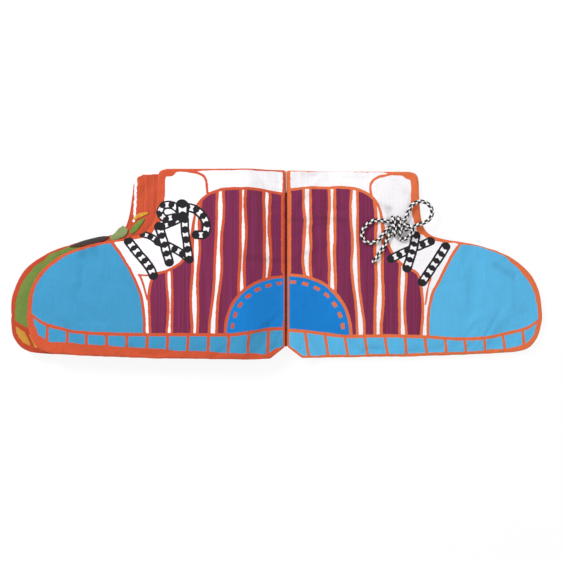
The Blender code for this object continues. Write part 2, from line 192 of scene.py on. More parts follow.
RIGHT_WRAP_ROUTE = [
    (105.4, 44.2, 9.25), (105.4, 44.2, 12.2), (105.6, 42.6, 14.6), (105.9, 39.4, 15.7),
    (106.3, 36.0, 15.9), (106.8, 32.6, 15.7), (107.2, 29.4, 14.7), (107.4, 27.8, 12.2),
    (107.4, 27.8, 9.25),
]


def lace_piece(name, route):
    """One stretch of lace, riding on the right page in place of its CAD node."""
    places = [Vector((x * MM + FOLD_X, y * MM, z * MM)) for x, y, z in route]
    line = smooth_line(places, LACE_STEP)
    piece = tube(name + "_braid", line, LACE_RADIUS)
    fasten(piece, "back_cover", name)
    length = sum((b - a).length for a, b in zip(line, line[1:]))
    print(name, "length", round(length / MM, 1), "mm")
    return piece, line, length


right_lace, right_line, right_length = lace_piece("right_lace", RIGHT_LACE_ROUTE)
left_lace, left_line, left_length = lace_piece("left_lace", LEFT_LACE_ROUTE)
left_wrap, _, _ = lace_piece("left_knot_wrap", LEFT_WRAP_ROUTE)
right_wrap, _, _ = lace_piece("right_knot_wrap", RIGHT_WRAP_ROUTE)

# %% [markdown]
# ## Facts about the cord
#
# Both halves of the bow are loose cord that starts at the sewn tack, each of its real length. Their
# far ends are bare, cut and sealed.

print("two loose cords: right_lace and left_lace")

# %% [markdown]
# ## The leaves' plan
#
# Every leaf is cut from the same drawing of a high-top shoe: a straight sole, a smooth run round
# the toe, over the instep and up the shaft, and the sewn edge in the fold. The tables repeat the
# CAD model's shares of a leaf's reach and height, so the cloth lands where the frame says.

# %% Leaf sizes and outline
HEIGHT = 176 * MM
SEAM_HALF = 0.95 * MM
HINGE_AWAY = 1.75 * MM
LEAF_HALF = 4.5 * MM
FLOOR_FLAT = 0.5 * MM
PUFF_REACH = 34 * MM
NECK = 40 * MM
OUTLINE_STEP = 2.6 * MM
SEWN_SHARES = [(-0.85, 0.5), (-0.85, -0.4375)]
SHOE_SOLE = [(0.055, -0.5), (0.27, -0.497)]
SHOE_SMOOTH = [
    (0.488, -0.494), (0.785, -0.479), (0.925, -0.461), (0.976, -0.406), (0.997, -0.324),
    (1.0, -0.254), (0.985, -0.125), (0.938, -0.026), (0.847, 0.060), (0.723, 0.111),
    (0.612, 0.138), (0.554, 0.168), (0.528, 0.233), (0.5186, 0.352), (0.5157, 0.449),
    (0.5054, 0.4875), (0.479, 0.5),
]
LEFT_SMOOTH = SHOE_SMOOTH[:10] + [
    (0.610, 0.138), (0.542, 0.170), (0.507, 0.235), (0.4955, 0.352), (0.4930, 0.449),
    (0.4835, 0.4875), (0.457, 0.5),
]
LONG_SOLE = [(0.052, -0.5), (0.30, -0.497)]
LONG_SMOOTH = [
    (0.60, -0.494), (0.865, -0.4855), (0.950, -0.463), (0.991, -0.396), (0.9995, -0.322),
    (1.0, -0.262), (0.994, -0.160), (0.952, -0.034), (0.878, 0.050), (0.800, 0.098),
    (0.729, 0.128), (0.643, 0.156), (0.592, 0.186), (0.572, 0.245), (0.560, 0.340),
    (0.551, 0.448), (0.5436, 0.4795), (0.519, 0.5),
]


class Leaf:
    """One padded leaf: its cut, its sewn edge, and the height of its middle."""

    def __init__(self, body, side, reach, height, cut, hinge_x, hinge_z, level):
        self.body, self.side, self.reach, self.height = body, side, reach, height
        self.hinge_x, self.hinge_z, self.level = hinge_x, hinge_z, level
        self.neck = NECK - (abs(hinge_x - FOLD_X) - HINGE_AWAY)
        sole, curve = ([Vector((x * reach, y * height)) for x, y in part] for part in cut)
        sewn = [Vector((x * SEAM_HALF, y * height)) for x, y in SEWN_SHARES]
        corners = sole + smooth_line(curve, OUTLINE_STEP) + sewn
        outline = []
        for start, end in zip(corners, [*corners[1:], corners[0]]):
            count = max(1, round((end - start).length / OUTLINE_STEP))
            outline += [start.lerp(end, index / count) for index in range(count)]
        self.outline = np.array(outline)

    def middle(self, x):
        share = np.clip(x / self.neck, 0, 1)
        return self.hinge_z + (self.level - self.hinge_z) * share * share * (3 - 2 * share)

    def half(self, x, rim, most=LEAF_HALF):
        """Half the leaf's thickness, from the distance to its sewn edge and to its rim."""
        share = np.clip(x / self.neck, 0, 1)
        crown = np.sqrt(1 - (1 - np.clip(rim / PUFF_REACH, 0, 1)) ** 2)
        puff = SEAM_HALF + (most - SEAM_HALF) * crown * share * share * (3 - 2 * share)
        rolled = np.sqrt(np.maximum(SEAM_HALF ** 2 - np.minimum(x, 0) ** 2, 0))
        return np.where(x < 0, rolled, puff)

    def world(self, x, y, z):
        return np.stack([self.hinge_x + self.side * x, y, z], axis=1)


PAGE = 242 * MM - HINGE_AWAY
SHOE = (SHOE_SOLE, SHOE_SMOOTH)
back_cover = Leaf("back_cover", 1, PAGE, HEIGHT, SHOE, 9.05 * MM, 12.0 * MM, 4.5 * MM)
left_page = Leaf("left_page", -1, PAGE - 3.5 * MM, HEIGHT, (SHOE_SOLE, LEFT_SMOOTH),
                 5.55 * MM, 14.3 * MM, 23.1 * MM)
long_shoe = Leaf("long_shoe_leaf", -1, 256.6 * MM - HINGE_AWAY, 172 * MM,
                 (LONG_SOLE, LONG_SMOOTH), 5.55 * MM, 11.8 * MM, 13.8 * MM)
front_cover = Leaf("front_cover", -1, PAGE, HEIGHT, SHOE, 2.85 * MM, 9.3 * MM, 4.5 * MM)
print("outline points:", {leaf.body: len(leaf.outline)
                          for leaf in (back_cover, left_page, long_shoe, front_cover)})

# %% [markdown]
# ## Distances in the plan
#
# Much of what follows asks how far a point of the cloth is from a drawn line: the seam at the rim,
# and later the lines of the print. Two small functions answer that for all points at once.

# %% Distance helpers
def from_line(places, line):
    """Least distance of each place to a line through the given points."""
    line = np.asarray(line, float)
    nearest = np.full(len(places), np.inf)
    for start, end in zip(line, line[1:]):
        run = end - start
        along = np.clip((places - start) @ run / max(run @ run, 1e-18), 0, 1)
        nearest = np.minimum(nearest, np.linalg.norm(places - start - along[:, None] * run, axis=1))
    return nearest


def inside(places, outline):
    """Distance to a closed outline, positive inside it and negative outside."""
    outline = np.asarray(outline, float)
    closed = np.vstack([outline, outline[:1]])
    odd = np.zeros(len(places), bool)
    for (x1, y1), (x2, y2) in zip(closed, closed[1:]):
        if y1 != y2:
            spans = (y1 > places[:, 1]) != (y2 > places[:, 1])
            odd ^= spans & (places[:, 0] < (x2 - x1) * (places[:, 1] - y1) / (y2 - y1) + x1)
    return np.where(odd, 1, -1) * from_line(places, closed)


print("helpers ready: from_line, inside")

# %% [markdown]
# ## Cutting the cloth
#
# A leaf's two faces are cut alike, so one flat plan of small triangles serves both. Two narrow
# rows follow the rim, where the cloth rolls over into the seam, and a hexagonal grid fills the
# rest, because it lets cloth crease in any direction.

# %% Plan of triangles
RIM_ROWS = (0.8 * MM, 2.3 * MM)
ROW_CLEAR_SHARE, GRID_CLEAR_SHARE, GRID_ROW_SHARE = 0.93, 0.55, 0.866
PLAN_STEPS = {back_cover: 3.4 * MM, left_page: 3.4 * MM, long_shoe: 4.4 * MM,
              front_cover: 5.0 * MM}


def cut_plan(leaf, step):
    """Flat points and triangles inside a leaf's outline."""
    rim = leaf.outline
    ahead = np.roll(rim, -1, axis=0) - np.roll(rim, 1, axis=0)
    inward = np.stack([-ahead[:, 1], ahead[:, 0]], axis=1)
    inward /= np.linalg.norm(inward, axis=1)[:, None]
    rows = [rim]
    for inset in RIM_ROWS:
        row = rim + inward * inset
        rows.append(row[inside(row, rim) > inset * ROW_CLEAR_SHARE])
    half_height = leaf.height / 2
    heights = np.arange(-half_height, half_height, step * GRID_ROW_SHARE)
    grid = np.array([(x + (row % 2) * step / 2, y) for row, y in enumerate(heights)
                     for x in np.arange(0, leaf.reach, step)])
    rows.append(grid[inside(grid, rim) > RIM_ROWS[-1] + step * GRID_CLEAR_SHARE])
    points = np.concatenate(rows)
    edges = [(i, (i + 1) % len(rim)) for i in range(len(rim))]
    made = geometry.delaunay_2d_cdt([Vector(p) for p in points], edges, [], 1, 1e-7)
    return np.array([tuple(p) for p in made[0]]), np.array(made[2])


plans = {leaf: cut_plan(leaf, step) for leaf, step in PLAN_STEPS.items()}
print("triangles in each plan:", {leaf.body: len(plan[1]) for leaf, plan in plans.items()})

# %% [markdown]
# ## Puffing the leaves
#
# Each leaf is a flat pillow: two cloths sewn at the rim and filled with thin wadding. A cloth
# simulation gives the soft hollows and puckers that such pillows have. The pillow starts a little
# thin, the cloth is a little too large for it, and air pressure without gravity fills it for
# twenty frames. How far a point may move is capped afterwards, so each leaf stays in its own layer
# of the stack, and the rim is pinned, so the outline stays as cut.

# %% Build and simulate the pillows
START_SHARE = 0.8
ON_RIM = 0.02 * MM
ROLL_WIDTH = 2.2 * MM
HELD_WIDTH = 3 * MM
LAST_FRAME = 20
CAP = 1.5 * MM
CLOTH = {"quality": 6, "mass": 0.2, "tension_stiffness": 12, "compression_stiffness": 12,
         "shear_stiffness": 6, "bending_stiffness": 0.4, "use_pressure": True,
         "uniform_pressure_force": 4, "shrink_min": -0.045, "vertex_group_mass": "held"}


def pillow(leaf):
    """Closed starting shape: points, faces, and for each point its place in the plan."""
    plan, triangles = plans[leaf]
    rim = inside(plan, leaf.outline)
    on_rim = rim < ON_RIM
    rim = np.maximum(rim, 0)
    lower_index = np.where(on_rim, np.arange(len(plan)), len(plan) + np.cumsum(~on_rim) - 1)
    x, y = plan.T
    roll = np.sqrt(1 - (1 - np.clip(rim / ROLL_WIDTH, 0, 1)) ** 2)
    half = leaf.half(x, rim) * roll
    middle = leaf.middle(x)
    upper = leaf.world(x, y, middle + START_SHARE * half)
    lower = leaf.world(x, y, middle - START_SHARE * half)[~on_rim]
    upper[on_rim, 2] = middle[on_rim]
    faces = np.concatenate([triangles, lower_index[triangles][:, ::-1]])
    if leaf.side < 0:
        faces = faces[:, ::-1]
    return {"upper": np.arange(len(plan)), "lower": lower_index, "on_rim": on_rim, "rim": rim,
            "points": np.concatenate([upper, lower]), "faces": faces}


def puff(pillows):
    """Fill all pillows at once and give back each one's points."""
    items = {}
    for leaf, form in pillows.items():
        mesh = bpy.data.meshes.new("pillow")
        mesh.from_pydata(form["points"].tolist(), [], form["faces"].tolist())
        item = bpy.data.objects.new("pillow", mesh)
        scene.collection.objects.link(item)
        held = item.vertex_groups.new(name="held")
        x = plans[leaf][0][:, 0]
        held.add(np.flatnonzero(form["on_rim"] | (x < HELD_WIDTH)).tolist(), 1.0, "REPLACE")
        cloth = item.modifiers.new("cloth", "CLOTH")
        for setting, value in CLOTH.items():
            setattr(cloth.settings, setting, value)
        cloth.settings.effector_weights.gravity = 0
        cloth.collision_settings.use_collision = False
        cloth.point_cache.frame_start, cloth.point_cache.frame_end = 1, LAST_FRAME
        items[leaf] = item
    for number in range(1, LAST_FRAME + 1):
        scene.frame_set(number)
    graph = bpy.context.evaluated_depsgraph_get()
    puffed = {}
    for leaf, item in items.items():
        shaped = item.evaluated_get(graph).to_mesh()
        places = np.zeros(len(shaped.vertices) * 3)
        shaped.vertices.foreach_get("co", places)
        puffed[leaf] = places.reshape(-1, 3)
    for item in items.values():
        bpy.data.objects.remove(item)
    scene.frame_set(1)
    return puffed


pillows = {leaf: pillow(leaf) for leaf in plans}
filled = {leaf: form["points"] for leaf, form in pillows.items()}
filled = puff(pillows)
for leaf, form in pillows.items():
    moved = filled[leaf] - form["points"]
    far = np.linalg.norm(moved, axis=1)
    moved *= (np.tanh(far / CAP) * CAP / np.maximum(far, 1e-12))[:, None]
    form["filled"] = form["points"] + moved
    print(leaf.body, "moved at most", round(far.max() / MM, 2), "mm, middle",
          round(np.median(far) / MM, 2))

# %% [markdown]
# ## Drawing the print
#
# The pages are printed with the shoe that they are cut as: a toe cap, a band of sole blocks, a
# quarter-round heel patch with dashes, even stripes, a pale tongue and collar, and chequered
# laces. An image would be one way, but the print has to stay sharp from close by, so each ink is
# stored on the cloth's points as the distance to its edge, and the material cuts it there. The
# drawing uses its own grid of nearly a millimetre, with x from the fold (at 286) to the toe and y
# down to the sole. The shapes are plain ones: even stripes, blocks of one width, and parts of
# circles. The two pages differ a little, so each has its own lines.

# %% Lines of the shoe drawing
def drawn(points):
    """A smooth line on the drawing grid."""
    return np.array([tuple(p) for p in smooth_line([Vector(p) for p in points], 2.0)])


RIGHT_DRAWING = {
    "collar": drawn([
        (284, 191), (291, 190), (303, 188.6), (320, 188.1), (338, 188.1), (348.4, 188.7),
        (355.4, 189.6), (361.5, 191.3), (368.4, 194.8), (373.6, 199.1), (377.1, 203.9),
        (379.7, 210), (381.4, 218), (384, 229), (387, 241), (391, 250.5), (397.9, 260.3),
        (405, 266.5), (414.2, 270.9), (418.6, 275.5), (420.8, 285), (422.6, 300),
        (422.8, 312), (421.6, 328), (421, 340)]),
    "tongue": drawn([(371.3, 195.5), (370.2, 188), (371.9, 182.6), (375.3, 179.2), (381.4, 177),
                     (389, 175.5), (396, 174.2), (406, 173)]),
    "toe": drawn([(464, 239), (460.5, 243.7), (457.7, 247.4), (452.1, 254.9), (447.5, 263.2),
                  (441.9, 274.4), (437.2, 283.7), (433, 291.2), (430.3, 300.5), (428.4, 309.8),
                  (427.7, 319), (427.5, 340)]),
    "sole": drawn([
        (280, 330.6), (289, 330.2), (305.7, 331), (318.7, 332.7), (331.7, 334.4), (344.7, 335.4),
        (383.7, 335.1), (405.4, 335.5), (426, 336), (441.9, 337.3), (465.2, 338), (483.8, 337.1),
        (500.6, 334.7), (511.7, 332.3), (523.8, 329.2), (530.4, 326.1), (536, 321.9), (546, 315)]),
    "heel": ((287, 335.5), (64.5, 60.5)),
    "blocks": (307.2, 19.77, 0.16),
    "stripes": [(307.4, 307.4, 310.4, 4.7, 1.7), (332, 332.2, 333.4, 4.5, 1.45),
                (354.4, 355, 361.3, 4.4, 1.7), (378, 379.5, 378.6, 5.0, 1.9),
                (401.5, 402.4, 402.4, 4.3, 1.6)],
    "fold_line": [(188, 287.0, 290.6), (197, 286.3, 291.3), (271, 286.3, 291.3),
                  (276, 286.3, 289.1)],
    "extra": [drawn([(430.5, 278), (428.4, 285), (426.8, 293), (425.4, 304)])],
    "rims": [(300, 172, 1.4), (340, 172, 1.3), (378, 172, 1.6), (398, 174, 5.2), (413, 178, 8.8),
             (416, 205, 9.6), (418, 228, 8.0), (427, 238, 4.5), (440, 241, 3.8), (460, 243, 3.2),
             (480, 246, 2.2), (505, 253, 3.0), (518, 261, 5.4), (530, 274, 7.0), (538, 292, 6.4),
             (541, 312, 5.6), (537, 330, 5.8), (525, 346, 6.4), (500, 352, 5.0), (460, 354, 4.5),
             (400, 355, 4.1), (340, 355, 3.4), (300, 354, 2.8), (288, 345, 2.2), (286, 300, 0.6),
             (286, 250, 0.6), (286, 200, 0.6)],
}
LEFT_DRAWING = {
    "collar": drawn([
        (284, 192.6), (289.8, 191.9), (302, 190.4), (317.5, 189.5), (330, 189), (347, 189.4),
        (354, 190.9), (362.9, 194.2), (369.3, 198.9), (374.1, 204.2), (376.5, 211), (378.5, 222),
        (381, 236), (385, 250), (389.4, 260.3), (396.5, 266.2), (405.9, 270.9), (413, 272.7),
        (418.5, 276), (421.5, 284), (423.2, 296), (422.6, 313), (421.5, 340)]),
    "tongue": drawn([(364.8, 193), (365.3, 187), (366.2, 181), (368.5, 176.5), (373, 174),
                     (380, 172.3), (390, 170.8), (401, 170)]),
    "toe": drawn([(464.5, 237), (461, 241.2), (457.2, 247.2), (451.6, 253.7), (446.1, 262),
                  (441.4, 269.4), (437, 278.7), (433.2, 288), (430.4, 297.2), (428.5, 308.3),
                  (427.5, 322), (427.3, 340)]),
    "sole": drawn([
        (280, 330.3), (288, 329.6), (308, 329.9), (323.4, 331.7), (335.2, 333.4), (347, 334),
        (389.4, 334), (413, 334), (436, 333.8), (465, 333.2), (483.7, 332.3), (502.2, 330.5),
        (515.2, 327.7), (525.4, 324.9), (532.8, 321.2), (538.3, 316.6), (545, 309)]),
    "heel": ((287, 335), (60.5, 58.3)),
    "blocks": (303.9, 20.17, 0.05),
    "stripes": [(305.5, 305.7, 308.8, 4.4, 1.1), (328.9, 330, 332, 4.0, 1.1),
                (351.8, 353.8, 359.8, 4.6, 1.7), (374, 376.9, 378.2, 4.6, 1.7),
                (402, 402.4, 402.4, 3.6, 1.0)],
    "fold_line": [(188, 287.4, 289.6), (197, 288.2, 290.8), (271, 288.2, 290.8),
                  (276, 286.9, 288.2)],
    "extra": [drawn([(433, 274.3), (424, 275), (416, 273.5)]),
              drawn([(432, 274.6), (429.6, 280), (427.2, 289), (424.6, 299)])],
    "rims": [(292, 172, 2.2), (320, 171, 2.8), (360, 169, 3.0), (392, 169, 4.6), (406, 173, 8.6),
             (413, 190, 8.8), (414, 215, 7.8), (420, 232, 5.5), (440, 237, 3.2), (462, 241, 3.2),
             (480, 246, 3.6), (500, 252, 4.0), (520, 264, 4.4), (535, 285, 5.0), (543, 308, 5.4),
             (541, 325, 7.4), (536, 332, 8.8), (528, 341, 11.4), (512, 350, 13.0),
             (480, 355, 12.6), (430, 357, 11.4), (380, 358, 9.2), (330, 359, 7.4),
             (295, 357, 6.0), (288, 345, 2.0), (286, 300, 0.6), (286, 250, 0.6),
             (286, 200, 0.6)],
}
print("lines in each drawing:", {side: len(shapes) for side, shapes in
                                 (("right", RIGHT_DRAWING), ("left", LEFT_DRAWING))})

# %% [markdown]
# ## The printed laces
#
# Printed on each page are flat laces: black bands with pale marks along their middle, each mark
# notched at both ends. The right page has one cross of laces and one bar, because its bow is real.
# The left page has a printed bow as well, drawn here as two plain loops and two tails.

# %% Printed lace bands
RIGHT_BANDS = [([(391, 258.6), (411, 249), (431.5, 240.5)], 4.3),
               ([(416.5, 235.5), (412.5, 250), (407, 267.5)], 4.9),
               ([(445.5, 247), (434, 264), (422.3, 281.5)], 4.9)]
LEFT_BANDS = [
    ([(141.5, 233.3), (150, 236.3), (157, 240.5)], 3.4),
    ([(157, 241), (170, 246.5), (181, 253), (189.5, 259.5)], 4.1),
    ([(158, 226.5), (162.5, 240), (166, 252), (169.3, 262)], 4.7),
    ([(128.3, 241.4), (135.4, 249.7), (143.7, 259.1), (150.4, 268), (153.5, 275)], 4.8),
    ([(181, 218.5), (170, 224), (160.5, 226.5)], 3.6),
    ([(184.5, 220), (185.4, 236), (189, 259)], 4.4),
    ([(178, 210), (171, 205.6), (163, 206), (159.5, 212), (164, 218.5), (174, 217.5)], 4.2),
    ([(187, 207.5), (196, 210.5), (203.5, 218), (206.3, 227), (203.5, 234.5), (196, 235)], 4.5),
    ([(182, 206), (182.4, 215)], 6.4)]
FAR_OUT = 9.0
MARK_PITCH, MARK_HALF, MARK_NOTCH = 9.0, 1.05, 0.5
MARK_WIDTH_SHARE, MARK_INSET, BAND_GAP = 0.6, 1.7, 0.3


def lace_fields(places, bands):
    """Edge distances of black bands and of the pale marks on them."""
    black = np.full(len(places), -FAR_OUT)
    marks = np.full(len(places), -FAR_OUT)
    for points, half_width in bands:
        line = drawn(points)
        band = half_width - from_line(places, line)
        marks = np.minimum(marks, -band - BAND_GAP)
        black = np.maximum(black, band)
        run = np.r_[0.0, np.cumsum(np.linalg.norm(np.diff(line, axis=0), axis=1))]
        count = max(1, round(run[-1] / MARK_PITCH))
        for s in (np.arange(count) + 0.5) * run[-1] / count:
            before, centre, after = (
                np.array([np.interp(at, run, line[:, 0]), np.interp(at, run, line[:, 1])])
                for at in (s - 1, s, s + 1))
            ahead = (after - before) / max(np.linalg.norm(after - before), 1e-9)
            off = places - centre
            across = np.abs(off[:, 0] * ahead[1] - off[:, 1] * ahead[0])
            mark = MARK_HALF + MARK_NOTCH * across - np.abs(off @ ahead)
            marks = np.maximum(marks, np.minimum.reduce(
                [mark, MARK_WIDTH_SHARE * half_width - across, band - MARK_INSET]))
    return black, marks


print("bands:", len(RIGHT_BANDS), "on the right page,", len(LEFT_BANDS), "on the left page")

# %% [markdown]
# ## One recipe for every face
#
# A field is positive inside its ink, in grid steps. Orange lines lie over the coloured shapes, and
# the pale parts end at them, as on the real cloth. The coloured rim differs from place to place,
# so its width is blended between a few measured spots.

# %% Ink fields
HEEL_POWER, HEEL_STEPS = 2.2, 60
SOLE_LEAN, TOE_LEAN = 0.98, 0.86
RIM_STEP = 0.93 * MM
COLLAR_LINE, TONGUE_LINE, TOE_LINE, HEEL_LINE, SOLE_LINE, EXTRA_LINE = 1.5, 1.5, 1.6, 1.4, 1.6, 1.2
BLOCK_LINE, BLOCK_Y = 1.5, 345
DASHES, DASH_START, DASH_PITCH, DASH_HALF, DASH_INSET = 7.44, 0.6, 12.5, 1.55, 6.8
STRIPE_HEIGHTS = (190, 262, 334)
PALE_CORNERS = [(475, 215), (475, 150), (270, 150), (270, 192)]
SECOND_SOLE_DROP, SECOND_SOLE_MORE, SECOND_RIM = 3.5, 1.2, 2.0
SECOND_BLOCKS = (300.7, 10.6, -0.35)
SECOND_LINE_HALF, SECOND_LINE_LEAN, SECOND_LINE_TOP, SECOND_LINE_LOW, SECOND_LINE_NEAR = (
    1.4, 0.11, 173, 221, 360)


def rim_width(places, spots):
    """Width of the printed rim, blended from the nearest spots (x, y, width)."""
    spots = np.array(spots)
    near = 1 / (np.linalg.norm(places[:, None] - spots[None, :, :2], axis=2) ** 2 + 9.0) ** 2
    return near @ spots[:, 2] / near.sum(axis=1)


def stripe_fields(places, stripes_drawn):
    """Edge distances of the upright stripes and of their pale cores, which swell a little."""
    x, y = places.T
    stripes = cores = np.full(len(places), -FAR_OUT)
    for number, (*bends, stripe_half, core_half) in enumerate(stripes_drawn):
        middle = np.interp(y, STRIPE_HEIGHTS, bends) + 0.5 * np.sin(y / 11.0 + number * 2.1)
        away = np.abs(x - middle)
        swell = np.sin(y / 9.0 + number * 2.4 + 4.7)
        stripes = np.maximum(stripes, stripe_half + 0.35 * swell - away)
        cores = np.maximum(cores, core_half + 0.5 * swell - away)
    return stripes, cores


def shoe_fields(places, rim, drawing, second_leaf):
    """Edge distances of each ink, positive inside it."""
    x, y = places.T
    (heel_x, heel_y), (heel_wide, heel_tall) = drawing["heel"]
    sole_line, toe_line, collar_line = drawing["sole"], drawing["toe"], drawing["collar"]
    sole = y - np.interp(x, sole_line[:, 0], sole_line[:, 1]) - SECOND_SOLE_DROP * second_leaf
    sole = sole * SOLE_LEAN
    toe = (x - np.interp(y, toe_line[:, 1], toe_line[:, 0])) * TOE_LEAN
    toe = np.minimum(toe, -sole)
    ring = (np.abs((x - heel_x) / heel_wide) ** HEEL_POWER
            + np.abs((y - heel_y) / heel_tall) ** HEEL_POWER)
    ring = (1 - ring ** (1 / HEEL_POWER)) * HEEL_STEPS
    heel = np.minimum(ring, -sole)
    pale = inside(places, np.vstack([collar_line, toe_line[::-1], PALE_CORNERS]))
    pale = np.minimum(pale, -sole)

    fold_line = np.array(drawing["fold_line"])
    near, far = (np.interp(y, fold_line[:, 0], fold_line[:, edge]) for edge in (1, 2))
    above_sole = np.maximum.reduce([
        COLLAR_LINE - from_line(places, collar_line), TOE_LINE - from_line(places, toe_line),
        HEEL_LINE - np.abs(ring), np.minimum(x - near, far - x)])
    seams = np.maximum.reduce([
        rim_width(places, drawing["rims"]) - rim, np.minimum(above_sole, -sole),
        SOLE_LINE + SECOND_SOLE_MORE * second_leaf - np.abs(sole),
        *(EXTRA_LINE - from_line(places, line) for line in drawing["extra"])])
    if not second_leaf:
        seams = np.maximum(seams, TONGUE_LINE - from_line(places, drawing["tongue"]))

    block_at, pitch, slant = SECOND_BLOCKS if second_leaf else drawing["blocks"]
    leaning = x - slant * (y - BLOCK_Y)
    to_block = np.abs((leaning - block_at + pitch / 2) % pitch - pitch / 2)
    blocks = np.minimum(BLOCK_LINE - to_block, sole)
    turn = np.arctan2((heel_y - y) / heel_tall, (x - heel_x) / heel_wide)
    share = (turn / (math.pi / 2) * DASHES + DASH_START) % 1 - 0.5
    dashes = np.minimum.reduce([DASH_HALF - np.abs(ring - DASH_INSET),
                                (0.25 - np.abs(share)) * DASH_PITCH, heel - 1.5])
    upper = np.minimum.reduce([-pale, -toe, -ring, -sole])
    stripes, cores = stripe_fields(places, drawing["stripes"])
    stripes, cores = np.minimum(stripes, upper), np.minimum(cores, upper - 1.5)

    line = np.maximum.reduce([seams, blocks, dashes, stripes])
    pale_ink = np.minimum(pale, 0.25 - seams)
    if second_leaf:
        middle = SECOND_LINE_HALF + SECOND_LINE_LEAN * np.maximum(y - SECOND_LINE_TOP, 0)
        pale_ink = np.minimum.reduce([SECOND_LINE_HALF - np.abs(rim - middle),
                                      SECOND_LINE_LOW - y, x - SECOND_LINE_NEAR])
        line = np.where(pale > -1.2, np.minimum(line, SECOND_RIM - rim), line)
    return {"line": line, "toe": toe, "sole": sole, "heel": heel,
            "pale": np.maximum(pale_ink, cores)}


print("ink fields ready: line, toe, sole, heel, pale")

# %% [markdown]
# ## Laying the drawing on a leaf
#
# The left side of the book lies nearer to the camera, so its grid is a little finer, and its
# drawing is mirrored. Some creases are pressed into the cloth for good: at the toe and across the
# shaft, and each one also darkens the colour as painted shade. The lines beside the tongue, round
# the knot, are painted shadow of the bow, dented a little as well. They are lines on the same grid,
# with soft sides.

# %% Places on the grid, creases with painted shade and shadow, and all fields of a face
GRID_STEP, LEFT_GRID_STEP, SECOND_GRID_STEP = 0.9423 * MM, 0.9169 * MM, 0.9293 * MM
GRID_FOLD, GRID_MIDDLE = 4.75 * MM, 15.55 * MM
SECOND_REACH_SHARE = 0.93
GRID_SIZE, GRID_CENTRE = 572, 281
DENT_AND_SHADE_WIDTH = 3.4
# The right page's last three lines, on the tongue round the knot, are painted shadow of the bow.
RIGHT_DENTS_AND_BOW_SHADOW = [[(288, 222), (318, 220), (346, 223)], [(496, 266), (504, 272), (513, 277)],
               [(393, 229), (400, 236), (403, 242)], [(380, 206), (389, 210)],
               [(389, 210), (393, 229)]]
LEFT_SHADED_DENTS = [[(489, 245), (488, 257)], [(478, 250), (476, 256)], [(292, 262), (330, 259)]]


def on_grid(leaf, u, v):
    """Places on the drawing grid, from distances to the fold and from mid height."""
    step, fold = GRID_STEP, GRID_FOLD
    if leaf is left_page:
        step, fold = LEFT_GRID_STEP, -GRID_FOLD
    elif leaf is long_shoe:
        step, fold = SECOND_GRID_STEP, -GRID_FOLD
        u, v = SECOND_REACH_SHARE * u, v * HEIGHT / leaf.height
    shift = GRID_CENTRE if fold > 0 else GRID_SIZE - GRID_CENTRE
    return np.stack([shift + (u + fold) / step, GRID_CENTRE - (v + GRID_MIDDLE) / step], axis=1)


def print_fields(leaf, face, u, v, rim):
    """All ink fields of one face of a leaf, and its pressed-in creases, which carry painted shade.
    """
    places = on_grid(leaf, u, v)
    shown = leaf if face == "upper" else None
    drawing = LEFT_DRAWING if shown is left_page else RIGHT_DRAWING
    fields = shoe_fields(places, rim / RIM_STEP, drawing, leaf is long_shoe)
    fields["black"] = fields["marks"] = np.full(len(places), -FAR_OUT)
    if shown is back_cover:
        fields["black"], fields["marks"] = lace_fields(places, RIGHT_BANDS)
    if shown is left_page:
        mirrored = places * (-1, 1) + (GRID_SIZE, 0)
        fields["black"], fields["marks"] = lace_fields(mirrored, LEFT_BANDS)
    dents_and_shade = {back_cover: RIGHT_DENTS_AND_BOW_SHADOW, left_page: LEFT_SHADED_DENTS}.get(shown, [])
    # Each line's soft field sets both the bump's dent and the painted shade of the colour.
    fields["dent_and_shade"] = sum((np.exp(-(from_line(places, line) / DENT_AND_SHADE_WIDTH) ** 2)
                          for line in dents_and_shade), np.zeros(len(places)))
    return fields


print("fields of a face: those five, and black, marks and dent")

# %% [markdown]
# ## The cloth faces
#
# Each puffed pillow is parted at its seam into the two cloths that it was sewn from. Every face
# keeps to its own layer: it lies no further from the leaf's middle than the CAD cloth does, so the
# stacked leaves rest on each other and never cut through. One subdivision rounds the triangles, a
# second one serves the three faces with the finest print, and then the inks are drawn on the finer
# points.

# %% Make the faces
LEAST_PUFF_SHARE = 0.25
CLOTH_PROUD = 0.05 * MM


def face_points(leaf, face):
    """Points of one face, kept inside its own layer."""
    form, plan = pillows[leaf], plans[leaf][0]
    points = form["filled"][form[face]].copy()
    x, rim = plan[:, 0], form["rim"]
    middle, half = leaf.middle(x), leaf.half(x, rim)
    if face == "upper":
        low, high = middle + LEAST_PUFF_SHARE * half, middle + half + CLOTH_PROUD
    else:
        low, high = middle - half, middle - LEAST_PUFF_SHARE * half
        if leaf.level <= LEAF_HALF:
            low = np.maximum(middle - leaf.half(x, rim, LEAF_HALF + FLOOR_FLAT), 0.0)
    points[:, 2] = np.clip(points[:, 2], low, high)
    points[form["on_rim"], 2] = middle[form["on_rim"]]
    return points


def subdivided(mesh, levels):
    """The mesh after smooth subdivision."""
    item = bpy.data.objects.new("rough", mesh)
    scene.collection.objects.link(item)
    rounding = item.modifiers.new("rounding", "SUBSURF")
    rounding.levels = rounding.render_levels = levels
    graph = bpy.context.evaluated_depsgraph_get()
    smoothed = bpy.data.meshes.new_from_object(item.evaluated_get(graph))
    bpy.data.objects.remove(item)
    bpy.data.meshes.remove(mesh)
    return smoothed


